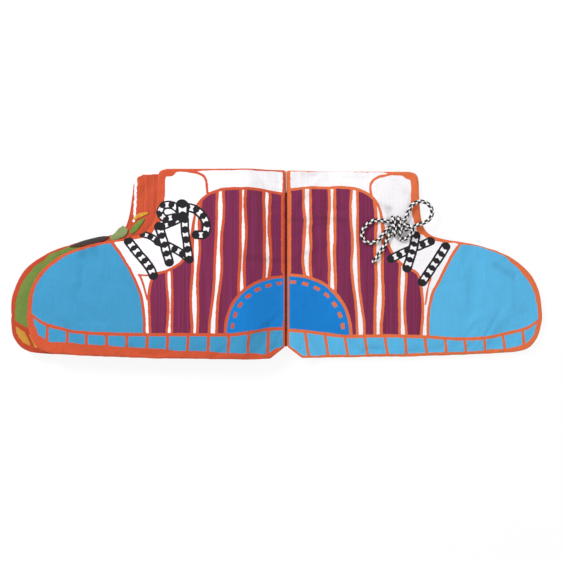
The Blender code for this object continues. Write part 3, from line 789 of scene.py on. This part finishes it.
def cloth_face(leaf, face, name, node, slot, levels):
    """One cloth of a leaf, as its own piece in place of the CAD cloth."""
    plan, triangles = plans[leaf]
    if (face == "lower") != (leaf.side < 0):
        triangles = triangles[:, ::-1]
    mesh = bpy.data.meshes.new(name)
    mesh.from_pydata(face_points(leaf, face).tolist(), [], triangles.tolist())
    flat = np.column_stack([plan, np.zeros(len(plan))]).astype(np.float32)
    mesh.attributes.new("plan", "FLOAT_VECTOR", "POINT").data.foreach_set("vector", flat.ravel())
    mesh = subdivided(mesh, levels)
    mesh.name = name
    places = np.zeros(len(mesh.vertices) * 3, np.float32)
    mesh.attributes["plan"].data.foreach_get("vector", places)
    places = places.reshape(-1, 3).astype(float)[:, :2]
    rim = np.maximum(inside(places, leaf.outline), 0)
    fields = print_fields(leaf, face, places[:, 0] + HINGE_AWAY, places[:, 1], rim)
    for ink, values in fields.items():
        add_floats(mesh, ink, np.clip(values, -FAR_OUT, FAR_OUT))
    add_floats(mesh, "rim", rim)
    piece = show(name, mesh)
    fasten(piece, leaf.body, node)
    return piece


FACES = [
    (back_cover, "upper", "right_page_face", "back_cover_inner_cloth", "right_page_print", 2),
    (back_cover, "lower", "back_cover_face", "back_cover_outer_cloth", "cover_cloth", 1),
    (left_page, "upper", "left_page_face", "left_page_front_cloth", "left_page_print", 2),
    (left_page, "lower", "left_page_back_face", "left_page_back_cloth", "cover_cloth", 1),
    (long_shoe, "upper", "long_shoe_face", "long_shoe_leaf_front_cloth", "long_shoe_print", 2),
    (long_shoe, "lower", "long_shoe_back_face", "long_shoe_leaf_back_cloth", "cover_cloth", 1),
    (front_cover, "upper", "front_cover_inner_face", "front_cover_inner_cloth", "cover_cloth", 1),
    (front_cover, "lower", "front_cover_outer_face", "front_cover_outer_cloth", "cover_cloth", 1),
]
faces = {(leaf, face): cloth_face(leaf, face, *rest) for leaf, face, *rest in FACES}

# %% [markdown]
# ## The wadding
#
# Between the two cloths lies a sheet of polyester wadding. It never shows, but it is what fills the
# pillow, so it is there, a little uneven, as batting is. The CAD solid's coarse shape would press
# through the cloth's soft hollows, so the sheet is laid between the two puffed faces instead: the
# same plan without its outer rows, each point a good part of the way from the middle to the cloth.

# %% Make the wadding
WADDING_INSET = 4.6 * MM
WADDING_START_SHARE, WADDING_SHARE, WADDING_UNEVEN = 0.32, 0.66, 0.10


def closed_mesh(name, points, faces):
    """A mesh of points and faces, every face turned outwards."""
    mesh = bpy.data.meshes.new(name)
    mesh.from_pydata(points.tolist(), [], faces)
    fixed = bmesh.new()
    fixed.from_mesh(mesh)
    bmesh.ops.recalc_face_normals(fixed, faces=fixed.faces)
    fixed.to_mesh(mesh)
    fixed.free()
    return mesh


def wadding(leaf):
    """The padding of one leaf, as its own piece."""
    plan, triangles = plans[leaf]
    deep = pillows[leaf]["rim"] > WADDING_INSET
    deep &= plan[:, 0] > WADDING_START_SHARE * leaf.neck
    used, index = np.unique(triangles[deep[triangles].all(axis=1)], return_inverse=True)
    kept = index.reshape(-1, 3)
    middle = leaf.middle(plan[used, 0])
    layers = []
    for face in ("upper", "lower"):
        points = face_points(leaf, face)[used]
        soft = np.array([noise.noise(Vector(point) * 90.0) for point in points])
        share = WADDING_SHARE + WADDING_UNEVEN * soft
        points[:, 2] = middle + (points[:, 2] - middle) * share
        layers.append(points)
    edges, counts = np.unique(np.sort(kept[:, [[0, 1], [1, 2], [2, 0]]].reshape(-1, 2)), axis=0,
                              return_counts=True)
    count = len(used)
    sides = [[a, b, b + count, a + count] for a, b in edges[counts == 1].tolist()]
    name = leaf.body + "_wadding"
    piece = show(name + "_sheet", closed_mesh(
        name + "_sheet", np.concatenate(layers), kept.tolist() + (kept + count).tolist() + sides))
    fasten(piece, leaf.body, name)
    return piece


waddings = [wadding(leaf) for leaf in plans]
print("wadding pieces:", [piece.name for piece in waddings])

# %% [markdown]
# ## Trims on the second leaf
#
# In the notch above the left page's toe, trims sewn to the leaf below look out: a green strap with
# a pointed end, a gold strap and a black piece of hook tape. Each is a thin band with rounded
# edges that follows the puffed leaf, lofted from a flattened round section along its middle line.

# %% Trims
TRIM_STEP, TRIM_SIDES = 0.9 * MM, 20
TRIM_ABOVE, TRIM_THICK = 0.2 * MM, 1.0 * MM
TRIM_WIDE_POWER, TRIM_TALL_POWER = 0.7, 0.55


def flattened(value, power):
    """A cosine or sine drawn out towards its ends, which makes a round section squarer."""
    return math.copysign(abs(value) ** power, value)


def trim(name, node, shares):
    """A band on the long-shoe leaf, from shares of its reach, height and half width."""
    reach, height = long_shoe.reach, long_shoe.height
    line = smooth_line([Vector((x * reach, y * height, w * reach)) for x, y, w in shares],
                       TRIM_STEP)
    angles = [turn * 2 * math.pi / TRIM_SIDES for turn in range(TRIM_SIDES)]
    rings = []
    for index, here in enumerate(line):
        ahead = line[min(index + 1, len(line) - 1)] - line[max(index - 1, 0)]
        beside = Vector((-ahead.y, ahead.x)).normalized()
        for angle in angles:
            across = flattened(math.cos(angle), TRIM_WIDE_POWER) * here.z
            up = 0.5 + 0.5 * flattened(math.sin(angle), TRIM_TALL_POWER)
            rings.append((here.x + beside.x * across, here.y + beside.y * across, up))
    rings = np.array(rings)
    rim = np.maximum(inside(rings[:, :2], long_shoe.outline), 0)
    top = long_shoe.middle(rings[:, 0]) + long_shoe.half(rings[:, 0], rim)
    points = long_shoe.world(rings[:, 0], rings[:, 1],
                             top + TRIM_ABOVE + rings[:, 2] * TRIM_THICK)
    mesh = closed_mesh(name, points, ring_faces(len(line), TRIM_SIDES))
    add_floats(mesh, "across", np.tile(np.cos(angles), len(line)))
    add_floats(mesh, "along", np.repeat(np.arange(len(line)) * TRIM_STEP, TRIM_SIDES))
    piece = show(name, mesh)
    fasten(piece, "long_shoe_leaf", node)
    print(name, "points", len(rings))
    return piece


black_patch = trim("hook_tape", "black_patch", [
    (0.783, 0.095, 0.002), (0.745, 0.110, 0.009), (0.70, 0.125, 0.0115), (0.662, 0.140, 0.009),
    (0.642, 0.149, 0.003)])
green_strap = trim("green_strap_band", "green_strap", [
    (0.634, 0.137, 0.008), (0.612, 0.154, 0.014), (0.592, 0.176, 0.019), (0.580, 0.200, 0.012)])
green_end = trim("green_strap_point", "green_strap_end", [
    (0.561, 0.168, 0.006), (0.545, 0.194, 0.0105), (0.528, 0.222, 0.009), (0.509, 0.247, 0.002)])
gold_strap = trim("gold_strap_band", "gold_strap", [
    (0.548, 0.243, 0.004), (0.533, 0.260, 0.0075), (0.516, 0.270, 0.007), (0.496, 0.278, 0.003)])

# %% [markdown]
# ## Binding strip, seam and tack
#
# The leaves are sewn to a folded strip in the fold, and a running seam holds them: its thread lies
# on the strip and dips into it between stitches. Both are long bars with a flattened round section
# that waver a little. The strip fills the width that the sewn edges leave, so no light falls
# through the fold. The tack under the laces' knot is a small bundle of stitches, made alike.

# %% Strip, seam and tack
STITCH = 4.4 * MM
BAR_STEP, BAR_WAVER = 0.5 * MM, 0.04 * MM


def bar(name, node, body, ends, half_wide, half_tall, dip=0.0):
    """A soft bar from one end to the other, lowered by dip between stitches."""
    first, last = (Vector(end) * MM for end in ends)
    count = max(8, round((last - first).length / BAR_STEP))
    line = [first.lerp(last, index / count) for index in range(count + 1)]
    piece = tube(name, line, half_wide, 12)
    for vert in piece.data.vertices:
        stitch = max(0.0, math.cos(vert.co.y * 2 * math.pi / STITCH)) ** 6
        vert.co.x += noise.noise(vert.co * 150.0) * BAR_WAVER
        vert.co.z = first.z + (vert.co.z - first.z) * half_tall / half_wide - dip * stitch
    fasten(piece, body, node)
    return piece


strip = bar("binding_strip", "spine_strip", "spine",
            ((7.3, -76.6, 10.6), (7.3, 87.6, 10.6)), 1.0 * MM, 1.6 * MM)
seam = bar("running_seam", "spine_thread", "spine",
           ((7.3, -74.3, 12.92), (7.3, 85.3, 12.92)), 0.36 * MM, 0.34 * MM, 0.26 * MM)
tack = bar("sewn_tack", "lace_tack", "back_cover",
           ((110.8, 38.4, 10.8), (110.8, 41.6, 10.8)), 1.0 * MM, 1.6 * MM)
print("strip, seam and tack in place")

# %% [markdown]
# ## Materials: colours and small helpers
#
# Colours are written as they look on a screen, from 0 to 255, and turned into the linear values
# that a shader reads.

# %% Colour and node helpers
def colour(red, green, blue):
    """A screen colour as linear light."""
    parts = [part / 255 for part in (red, green, blue)]
    return (*(c / 12.92 if c <= 0.04 else ((c + 0.055) / 1.055) ** 2.4 for c in parts), 1.0)


def add(tree, kind, **settings):
    """A new node; a setting that names an input sets its value, or links what is given."""
    node = tree.nodes.new("ShaderNode" + kind)
    for name, value in settings.items():
        if hasattr(node, name):
            setattr(node, name, value)
            continue
        numbered = name[0] == "i" and name[1:].isdigit()
        socket = node.inputs[int(name[1:]) if numbered else name.replace("_", " ")]
        if isinstance(value, bpy.types.NodeSocket):
            tree.links.new(value, socket)
        else:
            socket.default_value = value
    return node


def math_of(tree, operation, first, second=0.0, third=0.0):
    return add(tree, "Math", operation=operation, i0=first, i1=second, i2=third).outputs[0]


def noise_of(tree, vector, scale, detail=2.0, **settings):
    return add(tree, "TexNoise", Vector=vector, Scale=scale, Detail=detail,
               **settings).outputs["Fac"]


def ramp(tree, value, low, high, **settings):
    """Zero below low and one above high, unless the settings say otherwise."""
    return add(tree, "MapRange", Value=value, From_Min=low, From_Max=high, **settings).outputs[0]


def mix(tree, share, first, second, **settings):
    """One colour turning into another with a share from zero to one."""
    return add(tree, "Mix", data_type="RGBA", i0=share, i6=first, i7=second, **settings).outputs[2]


def group_tree(name, inputs, outputs):
    """An empty node group with named sockets."""
    tree = bpy.data.node_groups.new(name, "ShaderNodeTree")
    for label, kind, value in inputs:
        socket = tree.interface.new_socket(label, in_out="INPUT", socket_type=kind)
        if value is not None:
            socket.default_value = value
    for label, kind in outputs:
        tree.interface.new_socket(label, in_out="OUTPUT", socket_type=kind)
    return tree, tree.nodes.new("NodeGroupInput"), tree.nodes.new("NodeGroupOutput")


print("a purple as linear light:", [round(c, 3) for c in colour(121, 39, 74)])

# %% [markdown]
# ## Woven cloth
#
# All cloth here is a plain-weave cotton. The group lays threads half a millimetre apart over and
# under each other, lets single threads differ a little in thickness and shade, and adds the slack
# creases of padded cloth. It puts out a height in millimetres for the bump and a shade for the
# colour, so every cloth material uses it with its own amount of crease.

# %% Group: woven cloth
THREAD_STEP = 0.55 * MM
LENGTHWISE, CROSSWISE = (900.0, 45.0, 1.0), (45.0, 900.0, 1.0)

weave, w_in, w_out = group_tree(
    "woven_cloth", [("Vector", "NodeSocketVector", None), ("Crease", "NodeSocketFloat", 1.0)],
    [("Height", "NodeSocketFloat"), ("Shade", "NodeSocketFloat")])
vector = w_in.outputs["Vector"]
place = add(weave, "SeparateXYZ", Vector=vector)
waves = [math_of(weave, "SINE", math_of(weave, "MULTIPLY", place.outputs[axis],
                                        math.pi / THREAD_STEP)) for axis in ("X", "Y")]
over = math_of(weave, "MULTIPLY", waves[0], waves[1])
drawn_out = [add(weave, "Mapping", Vector=vector, Scale=scale).outputs[0]
             for scale in (LENGTHWISE, CROSSWISE)]
warp, weft = (noise_of(weave, stretched, 1.0, 1.0) for stretched in drawn_out)
blotch = noise_of(weave, vector, 55.0, 3.0, Roughness=0.6)
threads = math_of(weave, "ADD", math_of(weave, "MULTIPLY", warp, 0.6),
                  math_of(weave, "MULTIPLY", weft, 0.4))
shade = math_of(weave, "MULTIPLY_ADD", threads, 0.30,
                math_of(weave, "MULTIPLY_ADD", blotch, 0.14, 0.78))
shade = math_of(weave, "MULTIPLY_ADD", over, 0.025, shade)
broad = noise_of(weave, vector, 30.0, Distortion=1.2)
fine = noise_of(weave, vector, 110.0, Distortion=0.8)
creases = math_of(weave, "MULTIPLY_ADD", broad, 1.1, math_of(weave, "MULTIPLY", fine, 0.16))
height = math_of(weave, "MULTIPLY", creases, w_in.outputs["Crease"])
height = math_of(weave, "MULTIPLY_ADD", over, 0.035, height)
height = math_of(weave, "MULTIPLY_ADD", threads, 0.05, height)
weave.links.new(height, w_out.inputs["Height"])
weave.links.new(shade, w_out.inputs["Shade"])
print("woven_cloth nodes:", len(weave.nodes))

# %% [markdown]
# ## Ink edges
#
# Ink soaks into cloth, so a printed edge isn't a ruler's line: it wanders by part of a millimetre
# and is soft for one or two threads. The group turns an edge distance into such a mask.

# %% Group: ink edge
EDGE_SOFT = 0.22

ink_edge, e_in, e_out = group_tree(
    "ink_edge", [("Distance", "NodeSocketFloat", 0.0), ("Vector", "NodeSocketVector", None)],
    [("Mask", "NodeSocketFloat")])
slow, rapid = (noise_of(ink_edge, e_in.outputs["Vector"], scale, 1.0) for scale in (120.0, 700.0))
wander = math_of(ink_edge, "ADD", math_of(ink_edge, "MULTIPLY_ADD", slow, 0.9, -0.45),
                 math_of(ink_edge, "MULTIPLY_ADD", rapid, 0.4, -0.2))
edge = math_of(ink_edge, "ADD", e_in.outputs["Distance"], wander)
mask = ramp(ink_edge, edge, -EDGE_SOFT, EDGE_SOFT, interpolation_type="SMOOTHSTEP")
ink_edge.links.new(mask, e_out.inputs["Mask"])
print("ink_edge nodes:", len(ink_edge.nodes))

# %% [markdown]
# ## The cloth's surface
#
# Every cloth ends in the same shell: a rough Principled surface with a little sheen for the
# fibres' nap, its colour dimmed by the weave's shade and its bump taken from the weave's height.

# %% Material helpers and the cloth shell
def use_group(tree, group, **values):
    node = tree.nodes.new("ShaderNodeGroup")
    node.node_tree = group
    for name, value in values.items():
        if isinstance(value, bpy.types.NodeSocket):
            tree.links.new(value, node.inputs[name])
        else:
            node.inputs[name].default_value = value
    return node


def new_material(name):
    made = bpy.data.materials.new(name)
    made.use_nodes = True
    made.node_tree.nodes.clear()
    return made, made.node_tree


def dress(pieces, finish):
    """Give pieces one material in place of any they have."""
    for piece in pieces:
        piece.data.materials.clear()
        piece.data.materials.append(finish)


def attribute(tree, name, output="Fac"):
    return add(tree, "Attribute", attribute_name=name).outputs[output]


def cloth_shell(tree, base, height, shade, roughness=0.86, distance=1.0 * MM):
    """The Principled surface shared by the cloth recipes."""
    bump = add(tree, "Bump", Strength=1.0, Distance=distance, Height=height)
    tinted = mix(tree, 1.0, base, shade, blend_type="MULTIPLY")
    rough = math_of(tree, "MULTIPLY_ADD", shade, 0.12, roughness - 0.11)
    shell = add(tree, "BsdfPrincipled", Base_Color=tinted, Roughness=rough, Normal=bump.outputs[0],
                Specular_IOR_Level=0.25, Sheen_Weight=0.12, Sheen_Roughness=0.5)
    add(tree, "OutputMaterial", Surface=shell.outputs[0])


print("helpers ready: use_group, new_material, dress, attribute, cloth_shell")

# %% [markdown]
# ## Printed faces
#
# One recipe makes every printed cloth, with its own inks: a ground colour with fine upright
# streaks, as a printing roller leaves them, and over it each ink where its mask says. Close to the
# rim the seam pulls the cloth into small puckers. The pressed-in creases are lower, which the bump
# shows, and a little darker, which is painted shade in the colour.

# %% Recipe of a printed cloth
STREAKS = (620.0, 9.0, 1.0)
PUCKER_START, PUCKER_END, PUCKER_HEIGHT = 0.5 * MM, 9 * MM, 0.5
# The second number darkens the colour along the crease lines: painted shade, and the bow's painted
# shadow round the knot.
DENT_HEIGHT, DENT_PAINTED_SHADE = -0.9, -0.12


def printed_cloth(name, ground, inks, crease=1.0):
    """Cloth with a ground colour and inks laid over it in order."""
    made, tree = new_material(name)
    plan_vector = attribute(tree, "plan", "Vector")
    woven = use_group(tree, weave, Vector=plan_vector, Crease=crease)
    upright = add(tree, "Mapping", Vector=plan_vector, Scale=STREAKS).outputs[0]
    streaks = ramp(tree, noise_of(tree, upright, 1.0), 0.35, 0.65)
    paler = [min(255, part + extra) for part, extra in zip(ground, (8, 4, 14))]
    darker = [part - extra for part, extra in zip(ground, (6, 5, 8))]
    mixed = mix(tree, streaks, colour(*darker), colour(*paler))
    for ink, tint in inks:
        edge = use_group(tree, ink_edge, Distance=attribute(tree, ink), Vector=plan_vector)
        mixed = mix(tree, edge.outputs["Mask"], mixed, colour(*tint))
    near = ramp(tree, attribute(tree, "rim"), PUCKER_START, PUCKER_END,
                interpolation_type="SMOOTHSTEP", To_Min=1.0, To_Max=0.0)
    pucker = math_of(tree, "MULTIPLY", noise_of(tree, plan_vector, 190.0), near)
    height = math_of(tree, "MULTIPLY_ADD", pucker, PUCKER_HEIGHT, woven.outputs["Height"])
    dent_and_shade = attribute(tree, "dent_and_shade")
    height = math_of(tree, "MULTIPLY_ADD", dent_and_shade, DENT_HEIGHT, height)
    # painted shade: the crease lines darken the cloth's colour
    shade = math_of(tree, "MULTIPLY_ADD", dent_and_shade, DENT_PAINTED_SHADE, woven.outputs["Shade"])
    cloth_shell(tree, mixed, height, shade)
    return made


print("recipe ready: printed_cloth")

# %% [markdown]
# ## The pages' inks
#
# Each photographed face has its own set of inks, and the left page's orange and sky blue are a
# little deeper than the right one's. The five other faces share one cover print.

# %% Printed materials
ORANGE, WHITE, BLACK = (223, 110, 64), (246, 243, 247), (29, 27, 32)
SKY, ROYAL, PURPLE = (86, 179, 225), (7, 124, 204), (121, 39, 74)
DEEP_ORANGE, DEEP_SKY, RUST = (206, 84, 49), (62, 150, 195), (197, 81, 46)
GREEN, YELLOW, RED = (113, 136, 62), (204, 148, 55), (188, 69, 38)


def inks_of(line, toe, sole, heel, pale=WHITE):
    return [("toe", toe), ("sole", sole), ("heel", heel), ("line", line), ("pale", pale),
            ("black", BLACK), ("marks", WHITE)]


prints = {
    (back_cover, "upper"): printed_cloth(
        "right_page_cotton", PURPLE, inks_of(ORANGE, SKY, SKY, ROYAL)),
    (left_page, "upper"): printed_cloth(
        "left_page_cotton", PURPLE, inks_of(DEEP_ORANGE, DEEP_SKY, DEEP_SKY, ROYAL)),
    (long_shoe, "upper"): printed_cloth(
        "long_shoe_cotton", RUST, inks_of(RED, GREEN, YELLOW, GREEN), 1.3),
}
cover_print = printed_cloth("cover_cotton", ORANGE, inks_of(RED, GREEN, YELLOW, ROYAL), 1.2)
for key, piece in faces.items():
    dress([piece], prints.get(key, cover_print))
print("printed materials:", [made.name for made in (*prints.values(), cover_print)])

# %% [markdown]
# ## Plain cloths and wadding
#
# The trims, the strip and the wadding share the weave, but have no print. Their place on the
# object itself carries the threads, because they have no plan of their own.

# %% Plain cloth
STITCH_PITCH = 2.8 * MM


def plain_cloth(name, first, second, crease=0.3, spots=260.0, roughness=0.88, stitches=None):
    """Cloth of two close shades, mixed in small soft spots, with stitches at its lower edge."""
    made, tree = new_material(name)
    vector = add(tree, "TexCoord").outputs["Object"]
    woven = use_group(tree, weave, Vector=vector, Crease=crease)
    share = ramp(tree, noise_of(tree, vector, spots), 0.35, 0.65)
    mixed = mix(tree, share, colour(*first), colour(*second))
    if stitches:
        beat = math_of(tree, "MULTIPLY", attribute(tree, "along"), 2 * math.pi / STITCH_PITCH)
        low = math_of(tree, "GREATER_THAN", attribute(tree, "across"), 0.45)
        on = math_of(tree, "GREATER_THAN", math_of(tree, "SINE", beat), 0.2)
        mixed = mix(tree, math_of(tree, "MULTIPLY", on, low), mixed, colour(*stitches))
    cloth_shell(tree, mixed, woven.outputs["Height"], woven.outputs["Shade"], roughness)
    return made


dress([green_strap], plain_cloth("green_strap_cloth", (122, 150, 84), (144, 142, 108)))
dress([green_end], plain_cloth("green_point_cloth", (96, 134, 54), (122, 146, 66)))
dress([gold_strap], plain_cloth("gold_strap_cloth", (218, 168, 50), (200, 136, 48)))
dress([black_patch], plain_cloth("hook_tape_cloth", (50, 48, 46), (66, 61, 58), 0.2, 700.0,
                                 stitches=(136, 40, 28)))
dress(waddings, plain_cloth("wadding_fibre", (236, 234, 226), (248, 247, 242), 1.4, 120.0, 0.95))
dress([tack], plain_cloth("tack_cotton", (28, 27, 30), (60, 58, 62), 0.1, 900.0))
print("plain cloths assigned")

# %% [markdown]
# ## The binding strip, painted with the fold's shade
#
# The strip and the seam thread on it are painted with the shade that fills the fold: dark red,
# shaded pale beside the pale collar, shaded blue between the heel patches and shaded brown at the
# sole. Its height on the page picks the painted shade.

# %% Binding strip, painted shade of the fold
fold_shade_finish, tree = new_material("binding_strip_painted_shade")
vector = add(tree, "TexCoord").outputs["Object"]
woven = use_group(tree, weave, Vector=vector, Crease=0.2)
up_page = add(tree, "SeparateXYZ", Vector=vector).outputs["Y"]
pale_shade_part = ramp(tree, up_page, 66 * MM, 70 * MM, interpolation_type="SMOOTHSTEP")
blue_shade_part = math_of(tree, "COMPARE", up_page, -36 * MM, 25 * MM)
brown_shade_part = math_of(tree, "LESS_THAN", up_page, -62 * MM)
# painted shade of the fold: dark red, then shaded pale, blue and brown beside collar, heel patches
# and sole
mixed = colour(112, 16, 20)
for part, tint in [(pale_shade_part, (250, 206, 190)), (blue_shade_part, (58, 68, 98)),
                   (brown_shade_part, (160, 58, 22))]:
    mixed = mix(tree, part, mixed, colour(*tint))
cloth_shell(tree, mixed, woven.outputs["Height"], woven.outputs["Shade"])
dress([strip, seam], fold_shade_finish)
print("binding strip:", len(tree.nodes), "nodes")

# %% [markdown]
# ## The braided lace
#
# The lace is a round braid of black and white yarns. Seen from above, its yarns lean away from the
# middle on both sides, and a black one on the left meets a white one on the right. A wave along the
# lace, shifted by half a period from one side to the other and by more towards the edges, gives
# those leaning bars, and the same wave gives each yarn its rounded height.

# %% Braided lace
YARN_PITCH = 5.9 * MM
YARN_LEAN, STRANDS = 1.5, 6

lace_braid, tree = new_material("lace_braid")
along = attribute(tree, "along")
beside = attribute(tree, "turn_x")
side = math_of(tree, "MULTIPLY", math_of(tree, "SIGN", beside), math.pi / 2)
lean = math_of(tree, "MULTIPLY_ADD", math_of(tree, "ABSOLUTE", beside), YARN_LEAN, side)
wave = math_of(tree, "COSINE", math_of(tree, "MULTIPLY_ADD", along, 2 * math.pi / YARN_PITCH, lean))
fuzz = noise_of(tree, add(tree, "TexCoord").outputs["Object"], 1500.0)
ragged = math_of(tree, "ADD", wave, math_of(tree, "MULTIPLY_ADD", fuzz, 0.8, -0.72))
is_white = ramp(tree, ragged, -0.12, 0.12, interpolation_type="SMOOTHSTEP")
both = mix(tree, is_white, colour(22, 21, 26), colour(250, 249, 247))
strands = math_of(tree, "SINE", math_of(tree, "MULTIPLY_ADD", along,
                                        STRANDS * 2 * math.pi / YARN_PITCH,
                                        math_of(tree, "MULTIPLY", lean, STRANDS / 2)))
height = math_of(tree, "MULTIPLY_ADD", math_of(tree, "ABSOLUTE", wave), 0.22,
                 math_of(tree, "MULTIPLY", strands, 0.03))
height = math_of(tree, "MULTIPLY_ADD", fuzz, 0.12, height)
shade = math_of(tree, "MULTIPLY_ADD", fuzz, 0.35, 0.80)
cloth_shell(tree, both, height, shade, 0.8)
dress([right_lace, left_lace, left_wrap, right_wrap], lace_braid)
print("lace braid:", len(tree.nodes), "nodes")

# %% [markdown]
# ## Floor and light
#
# The book lies on a plain white ground. The floor shows white to the camera by its own colour and
# a share of emission on camera, glossy and transmission rays, and the rest of it stays diffuse, so
# it keeps the soft shadow. Large soft lamps and a pale sky light the book evenly, a little
# stronger from the upper left, so the padding shows.

# %% Floor, sky and lamps
FLOOR_BELOW, FLOOR_HALF = 0.2 * MM, 3
FLOOR_GLOW_SHARE, FLOOR_GLOW = 0.86, 1.02
SKY_LIGHT, SKY_SEEN_MORE = 0.53, 0.47
LAMPS = [("upper_left_lamp", (-0.62, 0.55, 0.85), 0.26, 7.6),
         ("right_lamp", (0.85, 0.1, 0.8), 0.6, 1.7),
         ("overhead_lamp", (0.0, -0.25, 1.2), 0.9, 1.2)]


def seen_rays(tree):
    """One on camera, glossy and transmission rays, zero on the others."""
    path = add(tree, "LightPath")
    return math_of(tree, "MAXIMUM", path.outputs["Is Camera Ray"], math_of(
        tree, "MAXIMUM", path.outputs["Is Glossy Ray"], path.outputs["Is Transmission Ray"]))


floor_mesh = bpy.data.meshes.new("floor")
floor_mesh.from_pydata([(x * FLOOR_HALF, y * FLOOR_HALF, 0)
                        for x, y in ((-1, -1), (1, -1), (1, 1), (-1, 1))], [], [(0, 1, 2, 3)])
floor = bpy.data.objects.new("floor", floor_mesh)
scene.collection.objects.link(floor)
floor.location.z = -FLOOR_BELOW
ground, tree = new_material("white_ground")
share = math_of(tree, "MULTIPLY", seen_rays(tree), FLOOR_GLOW_SHARE)
paper = add(tree, "BsdfDiffuse", Color=colour(247, 247, 247))
glow = add(tree, "Emission", Color=(1.0, 1.0, 1.0, 1.0), Strength=FLOOR_GLOW)
blend = add(tree, "MixShader", i0=share, i1=paper.outputs[0], i2=glow.outputs[0])
add(tree, "OutputMaterial", Surface=blend.outputs[0])
floor_mesh.materials.append(ground)

sky_world = bpy.data.worlds.new("pale_sky")
sky_world.use_nodes = True
tree = sky_world.node_tree
tree.nodes.clear()
strength = math_of(tree, "MULTIPLY_ADD", seen_rays(tree), SKY_SEEN_MORE, SKY_LIGHT)
background = add(tree, "Background", Color=(1.0, 1.0, 1.0, 1.0), Strength=strength)
add(tree, "OutputWorld", Surface=background.outputs[0])
scene.world = sky_world

for name, spot, size, power in LAMPS:
    lamp = bpy.data.objects.new(name, bpy.data.lights.new(name, "AREA"))
    lamp.data.size, lamp.data.energy = size, power
    lamp.location = spot
    lamp.rotation_mode = "QUATERNION"
    lamp.rotation_quaternion = (-Vector(spot)).to_track_quat("-Z", "Y")
    scene.collection.objects.link(lamp)
print("floor, sky and lamps ready")
